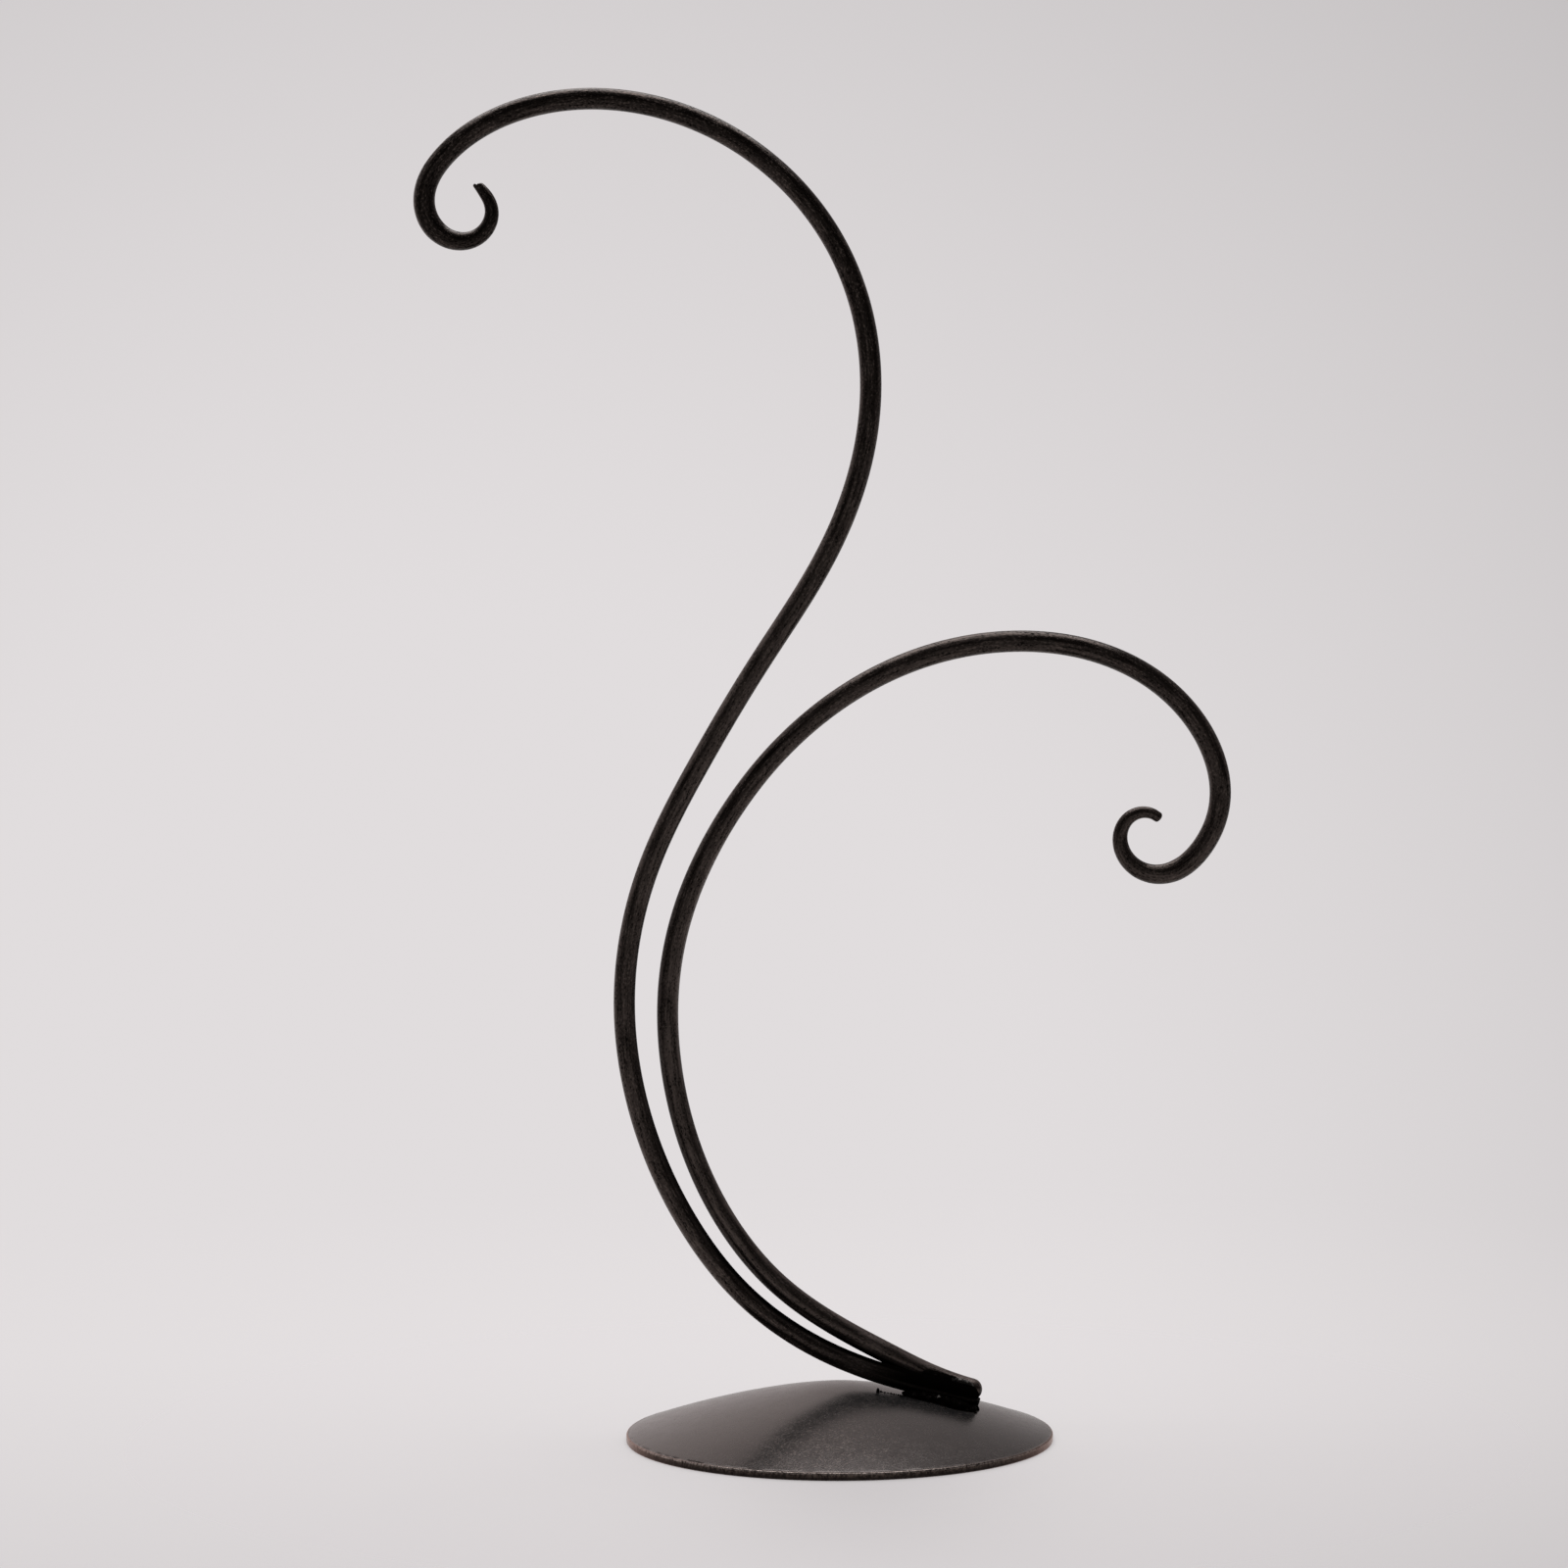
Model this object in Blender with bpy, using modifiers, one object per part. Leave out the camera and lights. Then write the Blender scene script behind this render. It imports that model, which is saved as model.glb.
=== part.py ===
"""An ornament stand: two round bars, bent into scroll hooks and welded side by side onto a pressed dish."""

import math

import bmesh
import bpy
import numpy as np

# The dish is a disc of sheet, pressed to a round crown with a flatter flank, its rim ground flat underneath
DISH_RADIUS = 0.0508
SHEET = 0.0020
DOME_RISE = 0.0118            # from the rim's upper edge to the top of the crown
CROWN_RADIUS = 0.050
FLANK_RADIUS = 0.250
RIM_LAND = 0.0012             # width of the ground ring that the stand rests on
RIM_ROUND = 0.0003            # the dressed corners of the rim's edge

# The two bars
BAR_DIAMETER = 0.0051
BAR_END_ROUND = 0.0025        # how far the foot's hammered end is rounded over
TALL_BAR_LENGTH = 0.4847
TALL_TAPER = 0.026            # the forged point of the tall hook
TALL_TIP_DIAMETER = 0.0026
TALL_TIP_ROUND = 0.0005
SHORT_BAR_LENGTH = 0.381
SHORT_TAPER = 0.032
SHORT_TIP_DIAMETER = 0.0025
SHORT_TIP_ROUND = 0.0008

# How far each bar has turned from its foot's direction, in degrees, at shares of its length
TALL_TURN_SHARES = (
    (0.00, 0), (0.03, 0), (0.06, -6.5), (0.10, -19.5), (0.15, -38.5), (0.20, -52), (0.26, -68),
    (0.32, -86), (0.38, -102), (0.44, -106.5), (0.50, -108.5), (0.56, -95), (0.64, -66.5), (0.72, -32.5),
    (0.80, 1), (0.86, 29), (0.90, 55), (0.92, 77), (0.94, 125.5), (0.96, 188), (0.98, 266), (1.00, 349),
)
SHORT_TURN_SHARES = (
    (0.00, 0), (0.02, -5.5), (0.05, -13), (0.08, -14), (0.12, -20.5), (0.18, -39.5), (0.25, -57),
    (0.33, -75), (0.42, -98.5), (0.50, -115.5), (0.58, -135), (0.66, -158), (0.72, -177.5),
    (0.78, -204.5), (0.84, -240), (0.88, -278), (0.91, -310), (0.94, -374.5), (0.97, -454.5), (1.00, -572),
)

# Where the feet lie on the flank
SEAT_SHARE = 0.56             # the seat's distance from the dish's axis, as a share of its radius
TALL_FOOT_TOE = 0.0040        # from the seat to the bars' ends, down the slope
SHORT_FOOT_TOE = 0.0048
SHORT_FOOT_LIFT = 0.0008      # the short bar's foot leans on the tall one's, this much higher
TOUCH_GAP = 0.0003            # left between pieces that touch

# Weld beads
FOOT_BEAD_RADIUS = 0.0014
FOOT_BEAD_START = 0.0012      # distances along the bar from its end
FOOT_BEAD_END = 0.0190
SEAM_BEAD_RADIUS = 0.00115
SEAM_BEAD_START = 0.0015
SEAM_BEAD_END = 0.0125
RIPPLE_PITCH = 0.0019         # one ripple for each push of the torch
RIPPLE_SHARE = 0.09           # height of a ripple, as a share of the bead's radius
BEAD_OUT_SHARE = 0.88         # a foot bead's place outwards of its bar and above the dish, in bar radii
BEAD_UP_SHARE = 0.28
SEAM_UP_SHARE = 0.72          # the seam bead's place above the line between the bars' middles, in bar radii
BEAD_BLUNTNESS = 6            # the higher, the sooner a bead reaches its full size

# How finely round shapes are divided
DISH_STEPS = 80
CROWN_POINTS = 4
FLANK_POINTS = 6
CORNER_POINTS = 4
BAR_BEVEL = 6                 # gives a bar 16 sides
BEAD_BEVEL = 3
BAR_RUN = 0.005               # the longest straight run of a bent bar
BAR_TURN = 9.0                # the most that it turns between two rings, in degrees
FINE_STEPS = 3000
END_RING_SHARES = (0.0, 0.12, 0.35, 0.65)
END_CAP_SHARE = 0.35          # radius of the small flat at a rounded end, as a share of the bar's there
RINGS_PER_RIPPLE = 4
OVERRUN = 0.004               # how far a cutter runs past what it cuts
MERGE = 0.000005              # points closer than this are one

# Name, colour, metallic value and roughness of each finish: the bars', the dish's and the welds'
FINISHES = (
    ("blackened_iron", (0.030, 0.027, 0.025), 0.7, 0.42),
    ("browned_steel", (0.085, 0.073, 0.066), 0.6, 0.50),
    ("weld_metal", (0.022, 0.020, 0.019), 0.7, 0.38),
)

BAR_RADIUS = BAR_DIAMETER / 2
BAR_PLANE = BAR_RADIUS + TOUCH_GAP / 2


def clear_scene():
    for old in list(bpy.data.objects):
        bpy.data.objects.remove(old)


def material(name, colour, metallic, roughness):
    made = bpy.data.materials.new(name)
    made.use_nodes = True
    made.diffuse_color = (*colour, 1)
    shader = made.node_tree.nodes["Principled BSDF"]
    shader.inputs["Base Color"].default_value = (*colour, 1)
    shader.inputs["Metallic"].default_value = metallic
    shader.inputs["Roughness"].default_value = roughness
    return made


class Dome:
    """The dish's outer section: a crown arc, tangent to a larger flank arc that ends at the rim."""

    def __init__(self):
        apart = FLANK_RADIUS - CROWN_RADIUS
        drop = DOME_RISE - CROWN_RADIUS
        reach = (FLANK_RADIUS ** 2 - DISH_RADIUS ** 2 - apart ** 2 - drop ** 2) / (2 * apart)
        self.joint = math.asin(reach / math.hypot(DISH_RADIUS, drop)) - math.atan2(-drop, DISH_RADIUS)
        self.flank_x = -apart * math.sin(self.joint)
        land_x = DISH_RADIUS - RIM_LAND - self.flank_x
        self.flank_z = -math.sqrt((FLANK_RADIUS - SHEET) ** 2 - land_x ** 2)
        self.crown_z = self.flank_z + apart * math.cos(self.joint)

    def on_flank(self, slope, lift=0.0):
        """Radius and height of the point where the flank has that slope, raised square to the sheet."""
        out = FLANK_RADIUS + lift
        return self.flank_x + out * math.sin(slope), self.flank_z + out * math.cos(slope)

    def slope_at(self, radius, lift=0.0):
        return math.asin((radius - self.flank_x) / (FLANK_RADIUS + lift))

    def height(self, radius):
        """Height of the outer face at that distance from the axis."""
        if radius < CROWN_RADIUS * math.sin(self.joint):
            return self.crown_z + math.sqrt(CROWN_RADIUS ** 2 - radius ** 2)
        return self.flank_z + math.sqrt(FLANK_RADIUS ** 2 - (radius - self.flank_x) ** 2)

    def face(self, end_slope, lift=0.0):
        """Points of the face from the axis down to that slope."""
        points = []
        for slope in np.linspace(0, self.joint, CROWN_POINTS):
            out = CROWN_RADIUS + lift
            points.append((out * math.sin(slope), self.crown_z + out * math.cos(slope)))
        for slope in np.linspace(self.joint, end_slope, FLANK_POINTS)[1:]:
            points.append(self.on_flank(slope, lift))
        return points


def corner(centre, radius, first, last):
    """A rounded corner, from one angle from the vertical to another."""
    angles = np.linspace(first, last, CORNER_POINTS)
    return [(centre[0] + radius * math.sin(a), centre[1] + radius * math.cos(a)) for a in angles]


def turned(name, profile, steps):
    """A closed body turned about +Z from a profile of (radius, height) points."""
    mesh = bpy.data.meshes.new(name)
    verts = [(radius, 0, height) for radius, height in profile]
    mesh.from_pydata(verts, [(k, k + 1) for k in range(len(verts) - 1)], [])
    made = bpy.data.objects.new(name, mesh)
    screw = made.modifiers.new("turn", "SCREW")
    screw.axis = "Z"
    screw.steps = steps
    screw.render_steps = steps
    screw.use_merge_vertices = True
    screw.merge_threshold = MERGE
    return made


def dish_profile(dome):
    """Outer face, rounded edge, ground land and inner face, from the axis out and back to the axis."""
    inset = DISH_RADIUS - RIM_ROUND
    rise = math.sqrt((FLANK_RADIUS - RIM_ROUND) ** 2 - (inset - dome.flank_x) ** 2)
    edge_slope = math.atan2(inset - dome.flank_x, rise)
    outer = dome.face(edge_slope)[:-1]
    upper = corner((inset, dome.flank_z + rise), RIM_ROUND, edge_slope, math.pi / 2)
    lower = corner((inset, RIM_ROUND), RIM_ROUND, math.pi / 2, math.pi)
    land_slope = dome.slope_at(DISH_RADIUS - RIM_LAND, -SHEET)
    inner = dome.face(land_slope, -SHEET)
    inner.reverse()
    inner[0] = (DISH_RADIUS - RIM_LAND, 0)
    profile = outer + upper + lower + inner
    return [(0, profile[0][1])] + profile[1:-1] + [(0, profile[-1][1])]


def dish_cutter_profile(dome):
    """The solid under the dish's outer face, raised by the gap that a weld bead keeps to it."""
    outer = dome.face(dome.slope_at(DISH_RADIUS), TOUCH_GAP)
    floor = [(outer[-1][0], -OVERRUN), (0, -OVERRUN)]
    return [(0, outer[0][1])] + outer[1:] + floor


def blend(table, share):
    """Values of a smooth curve through a table of (share, value) rows."""
    at = np.array([row[0] for row in table], float)
    value = np.array([row[1] for row in table], float)
    rate = np.gradient(value, at)
    rate[1:-1] = (value[2:] - value[:-2]) / (at[2:] - at[:-2])
    k = np.clip(np.searchsorted(at, share) - 1, 0, len(at) - 2)
    width = at[k + 1] - at[k]
    t = (share - at[k]) / width
    from_ends = value[k] * (2 * t ** 3 - 3 * t ** 2 + 1) + value[k + 1] * (3 * t ** 2 - 2 * t ** 3)
    from_rates = rate[k] * (t ** 3 - 2 * t ** 2 + t) + rate[k + 1] * (t ** 3 - t ** 2)
    return from_ends + width * from_rates


class Bar:
    """A bent bar's centre line, in its own upright plane, from its foot to its tip."""

    def __init__(self, dome, length, turns, toe, lift, taper, tip_diameter, tip_round):
        self.length = length
        self.taper = taper
        self.tip_share = tip_diameter / BAR_DIAMETER
        self.tip_round = tip_round
        slope = dome.slope_at(SEAT_SHARE * DISH_RADIUS)
        seat_x, seat_z = dome.on_flank(slope, lift)
        foot_x = seat_x + toe * math.cos(slope)
        foot_z = seat_z - toe * math.sin(slope)
        middles = (np.arange(FINE_STEPS) + 0.5) / FINE_STEPS
        heading = math.pi - slope + np.radians(blend(turns, middles))
        step = length / FINE_STEPS
        self.x = foot_x + np.concatenate([[0], np.cumsum(np.cos(heading))]) * step
        self.z = foot_z + np.concatenate([[0], np.cumsum(np.sin(heading))]) * step
        self.turn = np.concatenate([[0], np.cumsum(np.abs(np.diff(heading))), [0]])
        self.turn[-1] = self.turn[-2]
        self.along = np.linspace(0, length, FINE_STEPS + 1)

    def point(self, distance):
        """The centre line at a distance from the foot's end."""
        x = float(np.interp(distance, self.along, self.x))
        return x, float(np.interp(distance, self.along, self.z))

    def height_at(self, x):
        """Height of the centre line's foot run at that x."""
        leftmost = self.x.argmin()
        return float(np.interp(-x, -self.x[:leftmost], self.z[:leftmost]))

    def rings(self):
        """Distances of the rings that the bar is swept through: close together where it bends sharply."""
        inside = self.length - self.tip_round
        picked = [share * BAR_END_ROUND for share in END_RING_SHARES] + [BAR_END_ROUND]
        last = int(np.searchsorted(self.along, BAR_END_ROUND))
        for k in range(last, FINE_STEPS):
            run = self.along[k] - self.along[last]
            turn = self.turn[k] - self.turn[last]
            if self.along[k] < inside and (run >= BAR_RUN or turn >= math.radians(BAR_TURN)):
                picked.append(float(self.along[k]))
                last = k
        if inside - picked[-1] < self.tip_round:
            picked.pop()
        picked.append(inside)
        picked += [self.length - share * self.tip_round for share in reversed(END_RING_SHARES)]
        return picked

    def radius_share(self, distance):
        """Radius there, as a share of the bar's full radius: rounded at the foot, tapered to the tip."""
        to_tip = self.length - distance
        full = min(1.0, self.tip_share + (1 - self.tip_share) * to_tip / self.taper)
        foot = rounded(distance / BAR_END_ROUND)
        tip = rounded(to_tip / self.tip_round)
        return full * foot * tip


def rounded(share):
    """Radius of a rounded end, as a share of the bar's, at that share of the rounding from the end."""
    if share >= 1:
        return 1.0
    return max(END_CAP_SHARE, math.sqrt(1 - (1 - share) ** 2))


def swept(name, points, radius, radius_shares, bevel):
    """A round tube through the points, its radius following the shares, with closed ends."""
    curve = bpy.data.curves.new(name, "CURVE")
    curve.dimensions = "3D"
    curve.bevel_depth = radius
    curve.bevel_resolution = bevel
    curve.use_fill_caps = True
    spline = curve.splines.new("POLY")
    spline.points.add(len(points) - 1)
    for row, point, share in zip(spline.points, points, radius_shares):
        row.co = (*point, 1)
        row.radius = share
        row.tilt = 0
    return bpy.data.objects.new(name, curve)


def as_mesh(made, collection):
    """The curve object as one closed mesh, in its place in the collection."""
    collection.objects.link(made)
    graph = bpy.context.evaluated_depsgraph_get()
    graph.update()
    mesh = bpy.data.meshes.new_from_object(made.evaluated_get(graph))
    work = bmesh.new()
    work.from_mesh(mesh)
    bmesh.ops.remove_doubles(work, verts=work.verts, dist=MERGE)
    work.to_mesh(mesh)
    work.free()
    mesh.shade_smooth()
    solid = bpy.data.objects.new(made.name + "_solid", mesh)
    solid.matrix_world = made.matrix_world
    name = made.name
    bpy.data.objects.remove(made)
    solid.name = name
    collection.objects.link(solid)
    return solid


def bar_object(name, bar):
    rings = bar.rings()
    places = [bar.point(distance) for distance in rings]
    points = [(x, 0, z) for x, z in places]
    return swept(name, points, BAR_RADIUS, [bar.radius_share(distance) for distance in rings], BAR_BEVEL)


def bar_cutter(name, bar, collection):
    """The bar's foot with the touch gap all round it, which its weld beads are cut back to."""
    reach = FOOT_BEAD_END + OVERRUN
    start = bar.point(0)
    nearby = bar.point(BAR_END_ROUND)
    back = OVERRUN / BAR_END_ROUND
    before = (start[0] + (start[0] - nearby[0]) * back, start[1] + (start[1] - nearby[1]) * back)
    places = [before] + [bar.point(distance) for distance in rings_between(0, reach, FOOT_BEAD_RADIUS)]
    points = [(x, 0, z) for x, z in places]
    return as_mesh(swept(name, points, BAR_RADIUS + TOUCH_GAP, [1] * len(points), BAR_BEVEL), collection)


def rings_between(first, last, step):
    count = max(2, round((last - first) / step))
    return [float(distance) for distance in np.linspace(first, last, count + 1)]


def bead_shares(distances, first, last):
    """Radius of a rippled bead that swells from a thin start and dies away at its end."""
    shares = []
    for distance in distances:
        t = (distance - first) / (last - first)
        body = math.sqrt(max(0, 1 - (2 * t - 1) ** BEAD_BLUNTNESS))
        ripple = 1 + RIPPLE_SHARE * math.sin(2 * math.pi * (distance - first) / RIPPLE_PITCH)
        shares.append(max(END_CAP_SHARE, body) * ripple)
    return shares


def foot_bead(name, dome, bar, side, lift, collection):
    """The bead in the corner between a bar's outer side and the dish.

    The side is -1 in front and 1 behind. The lift is how much higher than seated the bar lies.
    """
    distances = rings_between(FOOT_BEAD_START, FOOT_BEAD_END, RIPPLE_PITCH / RINGS_PER_RIPPLE)
    points = []
    for distance in distances:
        x, _ = bar.point(distance)
        y = side * (BAR_PLANE + BEAD_OUT_SHARE * BAR_RADIUS)
        points.append((x, y, dome.height(math.hypot(x, y)) + BEAD_UP_SHARE * BAR_RADIUS + lift / 2))
    shares = bead_shares(distances, FOOT_BEAD_START, FOOT_BEAD_END)
    return as_mesh(swept(name, points, FOOT_BEAD_RADIUS + lift / 2, shares, BEAD_BEVEL), collection)


def seam_bead(name, tall, short, collection):
    """The bead along the valley on top, between the two bars."""
    distances = rings_between(SEAM_BEAD_START, SEAM_BEAD_END, RIPPLE_PITCH / RINGS_PER_RIPPLE)
    points = []
    for distance in distances:
        x, tall_z = tall.point(distance)
        short_z = short.height_at(x)
        apart = math.hypot(2 * BAR_PLANE, short_z - tall_z)
        out = SEAM_UP_SHARE * BAR_RADIUS / apart
        points.append((x, -(short_z - tall_z) * out, (tall_z + short_z) / 2 + 2 * BAR_PLANE * out))
    shares = bead_shares(distances, SEAM_BEAD_START, SEAM_BEAD_END)
    return as_mesh(swept(name, points, SEAM_BEAD_RADIUS, shares, BEAD_BEVEL), collection)


def cut(made, cutters):
    for cutter in cutters:
        step = made.modifiers.new("keep_" + cutter.name, "BOOLEAN")
        step.operation = "DIFFERENCE"
        step.solver = "EXACT"
        step.object = cutter


def place(made, parent, finish, y=0.0):
    made.parent = parent
    made.location = (0, y, 0)
    made.data.materials.append(finish)


def build():
    clear_scene()
    parts = bpy.data.collections.new("ornament_stand")
    cutters = bpy.data.collections.new("cutters")
    bpy.context.scene.collection.children.link(parts)
    bpy.context.scene.collection.children.link(cutters)

    dome = Dome()
    rest = BAR_RADIUS + TOUCH_GAP
    tall = Bar(
        dome, TALL_BAR_LENGTH, TALL_TURN_SHARES, TALL_FOOT_TOE, rest,
        TALL_TAPER, TALL_TIP_DIAMETER, TALL_TIP_ROUND,
    )
    short = Bar(
        dome, SHORT_BAR_LENGTH, SHORT_TURN_SHARES, SHORT_FOOT_TOE, rest + SHORT_FOOT_LIFT,
        SHORT_TAPER, SHORT_TIP_DIAMETER, SHORT_TIP_ROUND,
    )

    # The stand's origin is on the table, under the middle of its full width
    left = min(-DISH_RADIUS, tall.x.min() - BAR_RADIUS)
    right = max(DISH_RADIUS, short.x.max() + BAR_RADIUS)
    axis = bpy.data.objects.new("dish_axis", None)
    axis.location = (-(left + right) / 2, 0, 0)
    parts.objects.link(axis)

    black, brown, bead = [material(*finish) for finish in FINISHES]

    dish = turned("base_dish", dish_profile(dome), DISH_STEPS)
    parts.objects.link(dish)
    place(dish, axis, brown)

    for name, bar, y in (("tall_arm", tall, -BAR_PLANE), ("short_arm", short, BAR_PLANE)):
        arm = bar_object(name, bar)
        parts.objects.link(arm)
        place(arm, axis, black, y)

    tall_room = bar_cutter("tall_foot_room", tall, cutters)
    short_room = bar_cutter("short_foot_room", short, cutters)
    tall_room.location = (0, -BAR_PLANE, 0)
    short_room.location = (0, BAR_PLANE, 0)
    dish_room = turned("dish_room", dish_cutter_profile(dome), DISH_STEPS)
    cutters.objects.link(dish_room)
    rooms = (tall_room, short_room, dish_room)
    for room in rooms:
        room.parent = axis
        room.hide_render = True
        room.display_type = "WIRE"

    front = foot_bead("foot_weld_front", dome, tall, -1, 0, parts)
    rear = foot_bead("foot_weld_rear", dome, short, 1, SHORT_FOOT_LIFT, parts)
    seam = seam_bead("arm_seam_weld", tall, short, parts)
    for weld in (front, rear, seam):
        cut(weld, rooms)
        place(weld, axis, bead)


build()
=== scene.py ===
"""The looks of the ornament stand: bars, weld beads and dish in fine detail, and the photograph's view."""

import math

import bpy
import numpy as np
from mathutils import Matrix, Vector


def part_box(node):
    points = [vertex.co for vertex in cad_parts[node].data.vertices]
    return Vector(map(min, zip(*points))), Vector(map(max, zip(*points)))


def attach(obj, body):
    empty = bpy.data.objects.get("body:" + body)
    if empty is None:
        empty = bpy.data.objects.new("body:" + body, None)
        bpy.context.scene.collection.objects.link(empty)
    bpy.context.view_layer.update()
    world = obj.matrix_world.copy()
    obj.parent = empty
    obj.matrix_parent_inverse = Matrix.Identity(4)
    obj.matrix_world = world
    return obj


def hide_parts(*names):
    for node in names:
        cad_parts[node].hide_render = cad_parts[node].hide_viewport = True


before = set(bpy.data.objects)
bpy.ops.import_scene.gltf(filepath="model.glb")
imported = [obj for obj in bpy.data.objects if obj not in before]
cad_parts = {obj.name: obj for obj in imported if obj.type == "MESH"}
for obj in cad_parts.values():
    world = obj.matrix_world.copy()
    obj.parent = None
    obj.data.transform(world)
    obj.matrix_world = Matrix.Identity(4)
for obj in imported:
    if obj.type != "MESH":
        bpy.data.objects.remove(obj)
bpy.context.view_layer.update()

MM = 0.001

# The dish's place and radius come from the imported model. The other sizes repeat the construction's, in metres
dish_low, dish_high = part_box("base_dish")
AXIS_X = (dish_low.x + dish_high.x) / 2
DISH_RADIUS = (dish_high.y - dish_low.y) / 2
SHEET = 0.0020
DOME_RISE = 0.0118
CROWN_RADIUS = 0.050
FLANK_RADIUS = 0.250
RIM_LAND = 0.0012
RIM_ROUND = 0.0003

# The bars, in metres, as the construction has them, and the share by which each one's pinched end narrows
BAR_RADIUS = 0.00255
TOUCH_GAP = 0.0003
BAR_PLANE = BAR_RADIUS + TOUCH_GAP / 2
SEAT_SHARE = 0.56
FOOT_ROUND = 0.0025
TALL = {
    "length": 0.4847, "toe": 0.0040, "lift": 0.0,
    "taper": 0.026, "tip_radius": 0.0013, "tip_corner": 0.0004, "pinch_share": 0.13,
}
SHORT = {
    "length": 0.381, "toe": 0.0048, "lift": 0.0008,
    "taper": 0.032, "tip_radius": 0.00125, "tip_corner": 0.0006, "pinch_share": 0.0,
}

# How far each bar has turned from its foot's direction, in degrees, at shares of its length. The tables are
# the construction's, but for the tall bar's last two rows, which leave its tip a little straighter
TALL_TURN_SHARES = (
    (0.00, 0), (0.03, 0), (0.06, -6.5), (0.10, -19.5), (0.15, -38.5), (0.20, -52), (0.26, -68),
    (0.32, -86), (0.38, -102), (0.44, -106.5), (0.50, -108.5), (0.56, -95), (0.64, -66.5), (0.72, -32.5),
    (0.80, 1), (0.86, 29), (0.90, 55), (0.92, 77), (0.94, 125.5), (0.96, 188), (0.98, 266),
    (0.992, 316), (1.00, 324),
)
SHORT_TURN_SHARES = (
    (0.00, 0), (0.02, -5.5), (0.05, -13), (0.08, -14), (0.12, -20.5), (0.18, -39.5), (0.25, -57),
    (0.33, -75), (0.42, -98.5), (0.50, -115.5), (0.58, -135), (0.66, -158), (0.72, -177.5),
    (0.78, -204.5), (0.84, -240), (0.88, -278), (0.91, -310), (0.94, -374.5), (0.97, -454.5), (1.00, -572),
)
LINE_STEPS = 3000             # straight steps that a centre line is added up from


# Lines of the stand

class Dome:
    """The dish's outer section: a crown arc, tangent to a larger flank arc that ends at the rim."""

    def __init__(self):
        apart = FLANK_RADIUS - CROWN_RADIUS
        drop = DOME_RISE - CROWN_RADIUS
        reach = (FLANK_RADIUS ** 2 - DISH_RADIUS ** 2 - apart ** 2 - drop ** 2) / (2 * apart)
        self.joint = math.asin(reach / math.hypot(DISH_RADIUS, drop)) - math.atan2(-drop, DISH_RADIUS)
        self.flank_x = -apart * math.sin(self.joint)
        land_x = DISH_RADIUS - RIM_LAND - self.flank_x
        self.flank_z = -math.sqrt((FLANK_RADIUS - SHEET) ** 2 - land_x ** 2)
        self.crown_z = self.flank_z + apart * math.cos(self.joint)

    def slope_at(self, radius):
        """The flank's slope at that distance from the axis, in radians."""
        return math.asin((radius - self.flank_x) / FLANK_RADIUS)

    def height(self, radius, lift=0.0):
        """Height at that distance from the axis of the outer face, raised square to the sheet."""
        crown, flank = CROWN_RADIUS + lift, FLANK_RADIUS + lift
        if radius < crown * math.sin(self.joint):
            return self.crown_z + math.sqrt(crown ** 2 - radius ** 2)
        return self.flank_z + math.sqrt(flank ** 2 - (radius - self.flank_x) ** 2)


def blend(table, share):
    """Values of a smooth curve through a table of (share, value) rows."""
    at = np.array([row[0] for row in table], float)
    value = np.array([row[1] for row in table], float)
    rate = np.gradient(value, at)
    rate[1:-1] = (value[2:] - value[:-2]) / (at[2:] - at[:-2])
    k = np.clip(np.searchsorted(at, share) - 1, 0, len(at) - 2)
    width = at[k + 1] - at[k]
    t = (share - at[k]) / width
    from_ends = value[k] * (2 * t ** 3 - 3 * t ** 2 + 1) + value[k + 1] * (3 * t ** 2 - 2 * t ** 3)
    from_rates = rate[k] * (t ** 3 - 2 * t ** 2 + t) + rate[k + 1] * (t ** 3 - t ** 2)
    return from_ends + width * from_rates


class Bar:
    """A bent bar's centre line, in its own upright plane, from its foot to its tip."""

    def __init__(self, dome, sizes, turns):
        self.sizes = sizes
        self.length = sizes["length"]
        slope = dome.slope_at(SEAT_SHARE * DISH_RADIUS)
        out = FLANK_RADIUS + BAR_RADIUS + TOUCH_GAP + sizes["lift"]
        foot_x = AXIS_X + dome.flank_x + out * math.sin(slope) + sizes["toe"] * math.cos(slope)
        foot_z = dome.flank_z + out * math.cos(slope) - sizes["toe"] * math.sin(slope)
        middles = (np.arange(LINE_STEPS) + 0.5) / LINE_STEPS
        heading = math.pi - slope + np.radians(blend(turns, middles))
        step = self.length / LINE_STEPS
        self.x = foot_x + np.concatenate([[0], np.cumsum(np.cos(heading))]) * step
        self.z = foot_z + np.concatenate([[0], np.cumsum(np.sin(heading))]) * step
        self.along = np.linspace(0, self.length, LINE_STEPS + 1)
        self.middles = middles * self.length
        self.heading = heading

    def at(self, distance):
        """x, z and heading at distances from the foot's end."""
        x = np.interp(distance, self.along, self.x)
        z = np.interp(distance, self.along, self.z)
        return x, z, np.interp(distance, self.middles, self.heading)

    def height_at(self, x):
        """Height of the centre line's foot run at that x."""
        leftmost = self.x.argmin()
        return float(np.interp(-x, -self.x[:leftmost], self.z[:leftmost]))


# Uneven surfaces

MOST_TURNS = 4                # a wave turns fewer times than this round a bar or bead


def waves(seed, count, low, high):
    """Rows of (waves a metre, turns, phases) for a smooth made-up unevenness."""
    rng = np.random.default_rng(seed)
    frequency = rng.uniform(low, high, count)
    turns = rng.integers(0, MOST_TURNS, count)
    phases = rng.uniform(0, 2 * math.pi, (count, 2))
    return list(zip(frequency, turns, phases))


def unevenness(rows, along, angle):
    """Between -1 and 1, at distances along and angles round a bar or bead."""
    total = np.zeros(np.broadcast(along, angle).shape)
    for frequency, turns, phases in rows:
        total += np.sin(2 * math.pi * frequency * along + phases[0]) * np.cos(turns * angle + phases[1])
    return total / len(rows)


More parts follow.
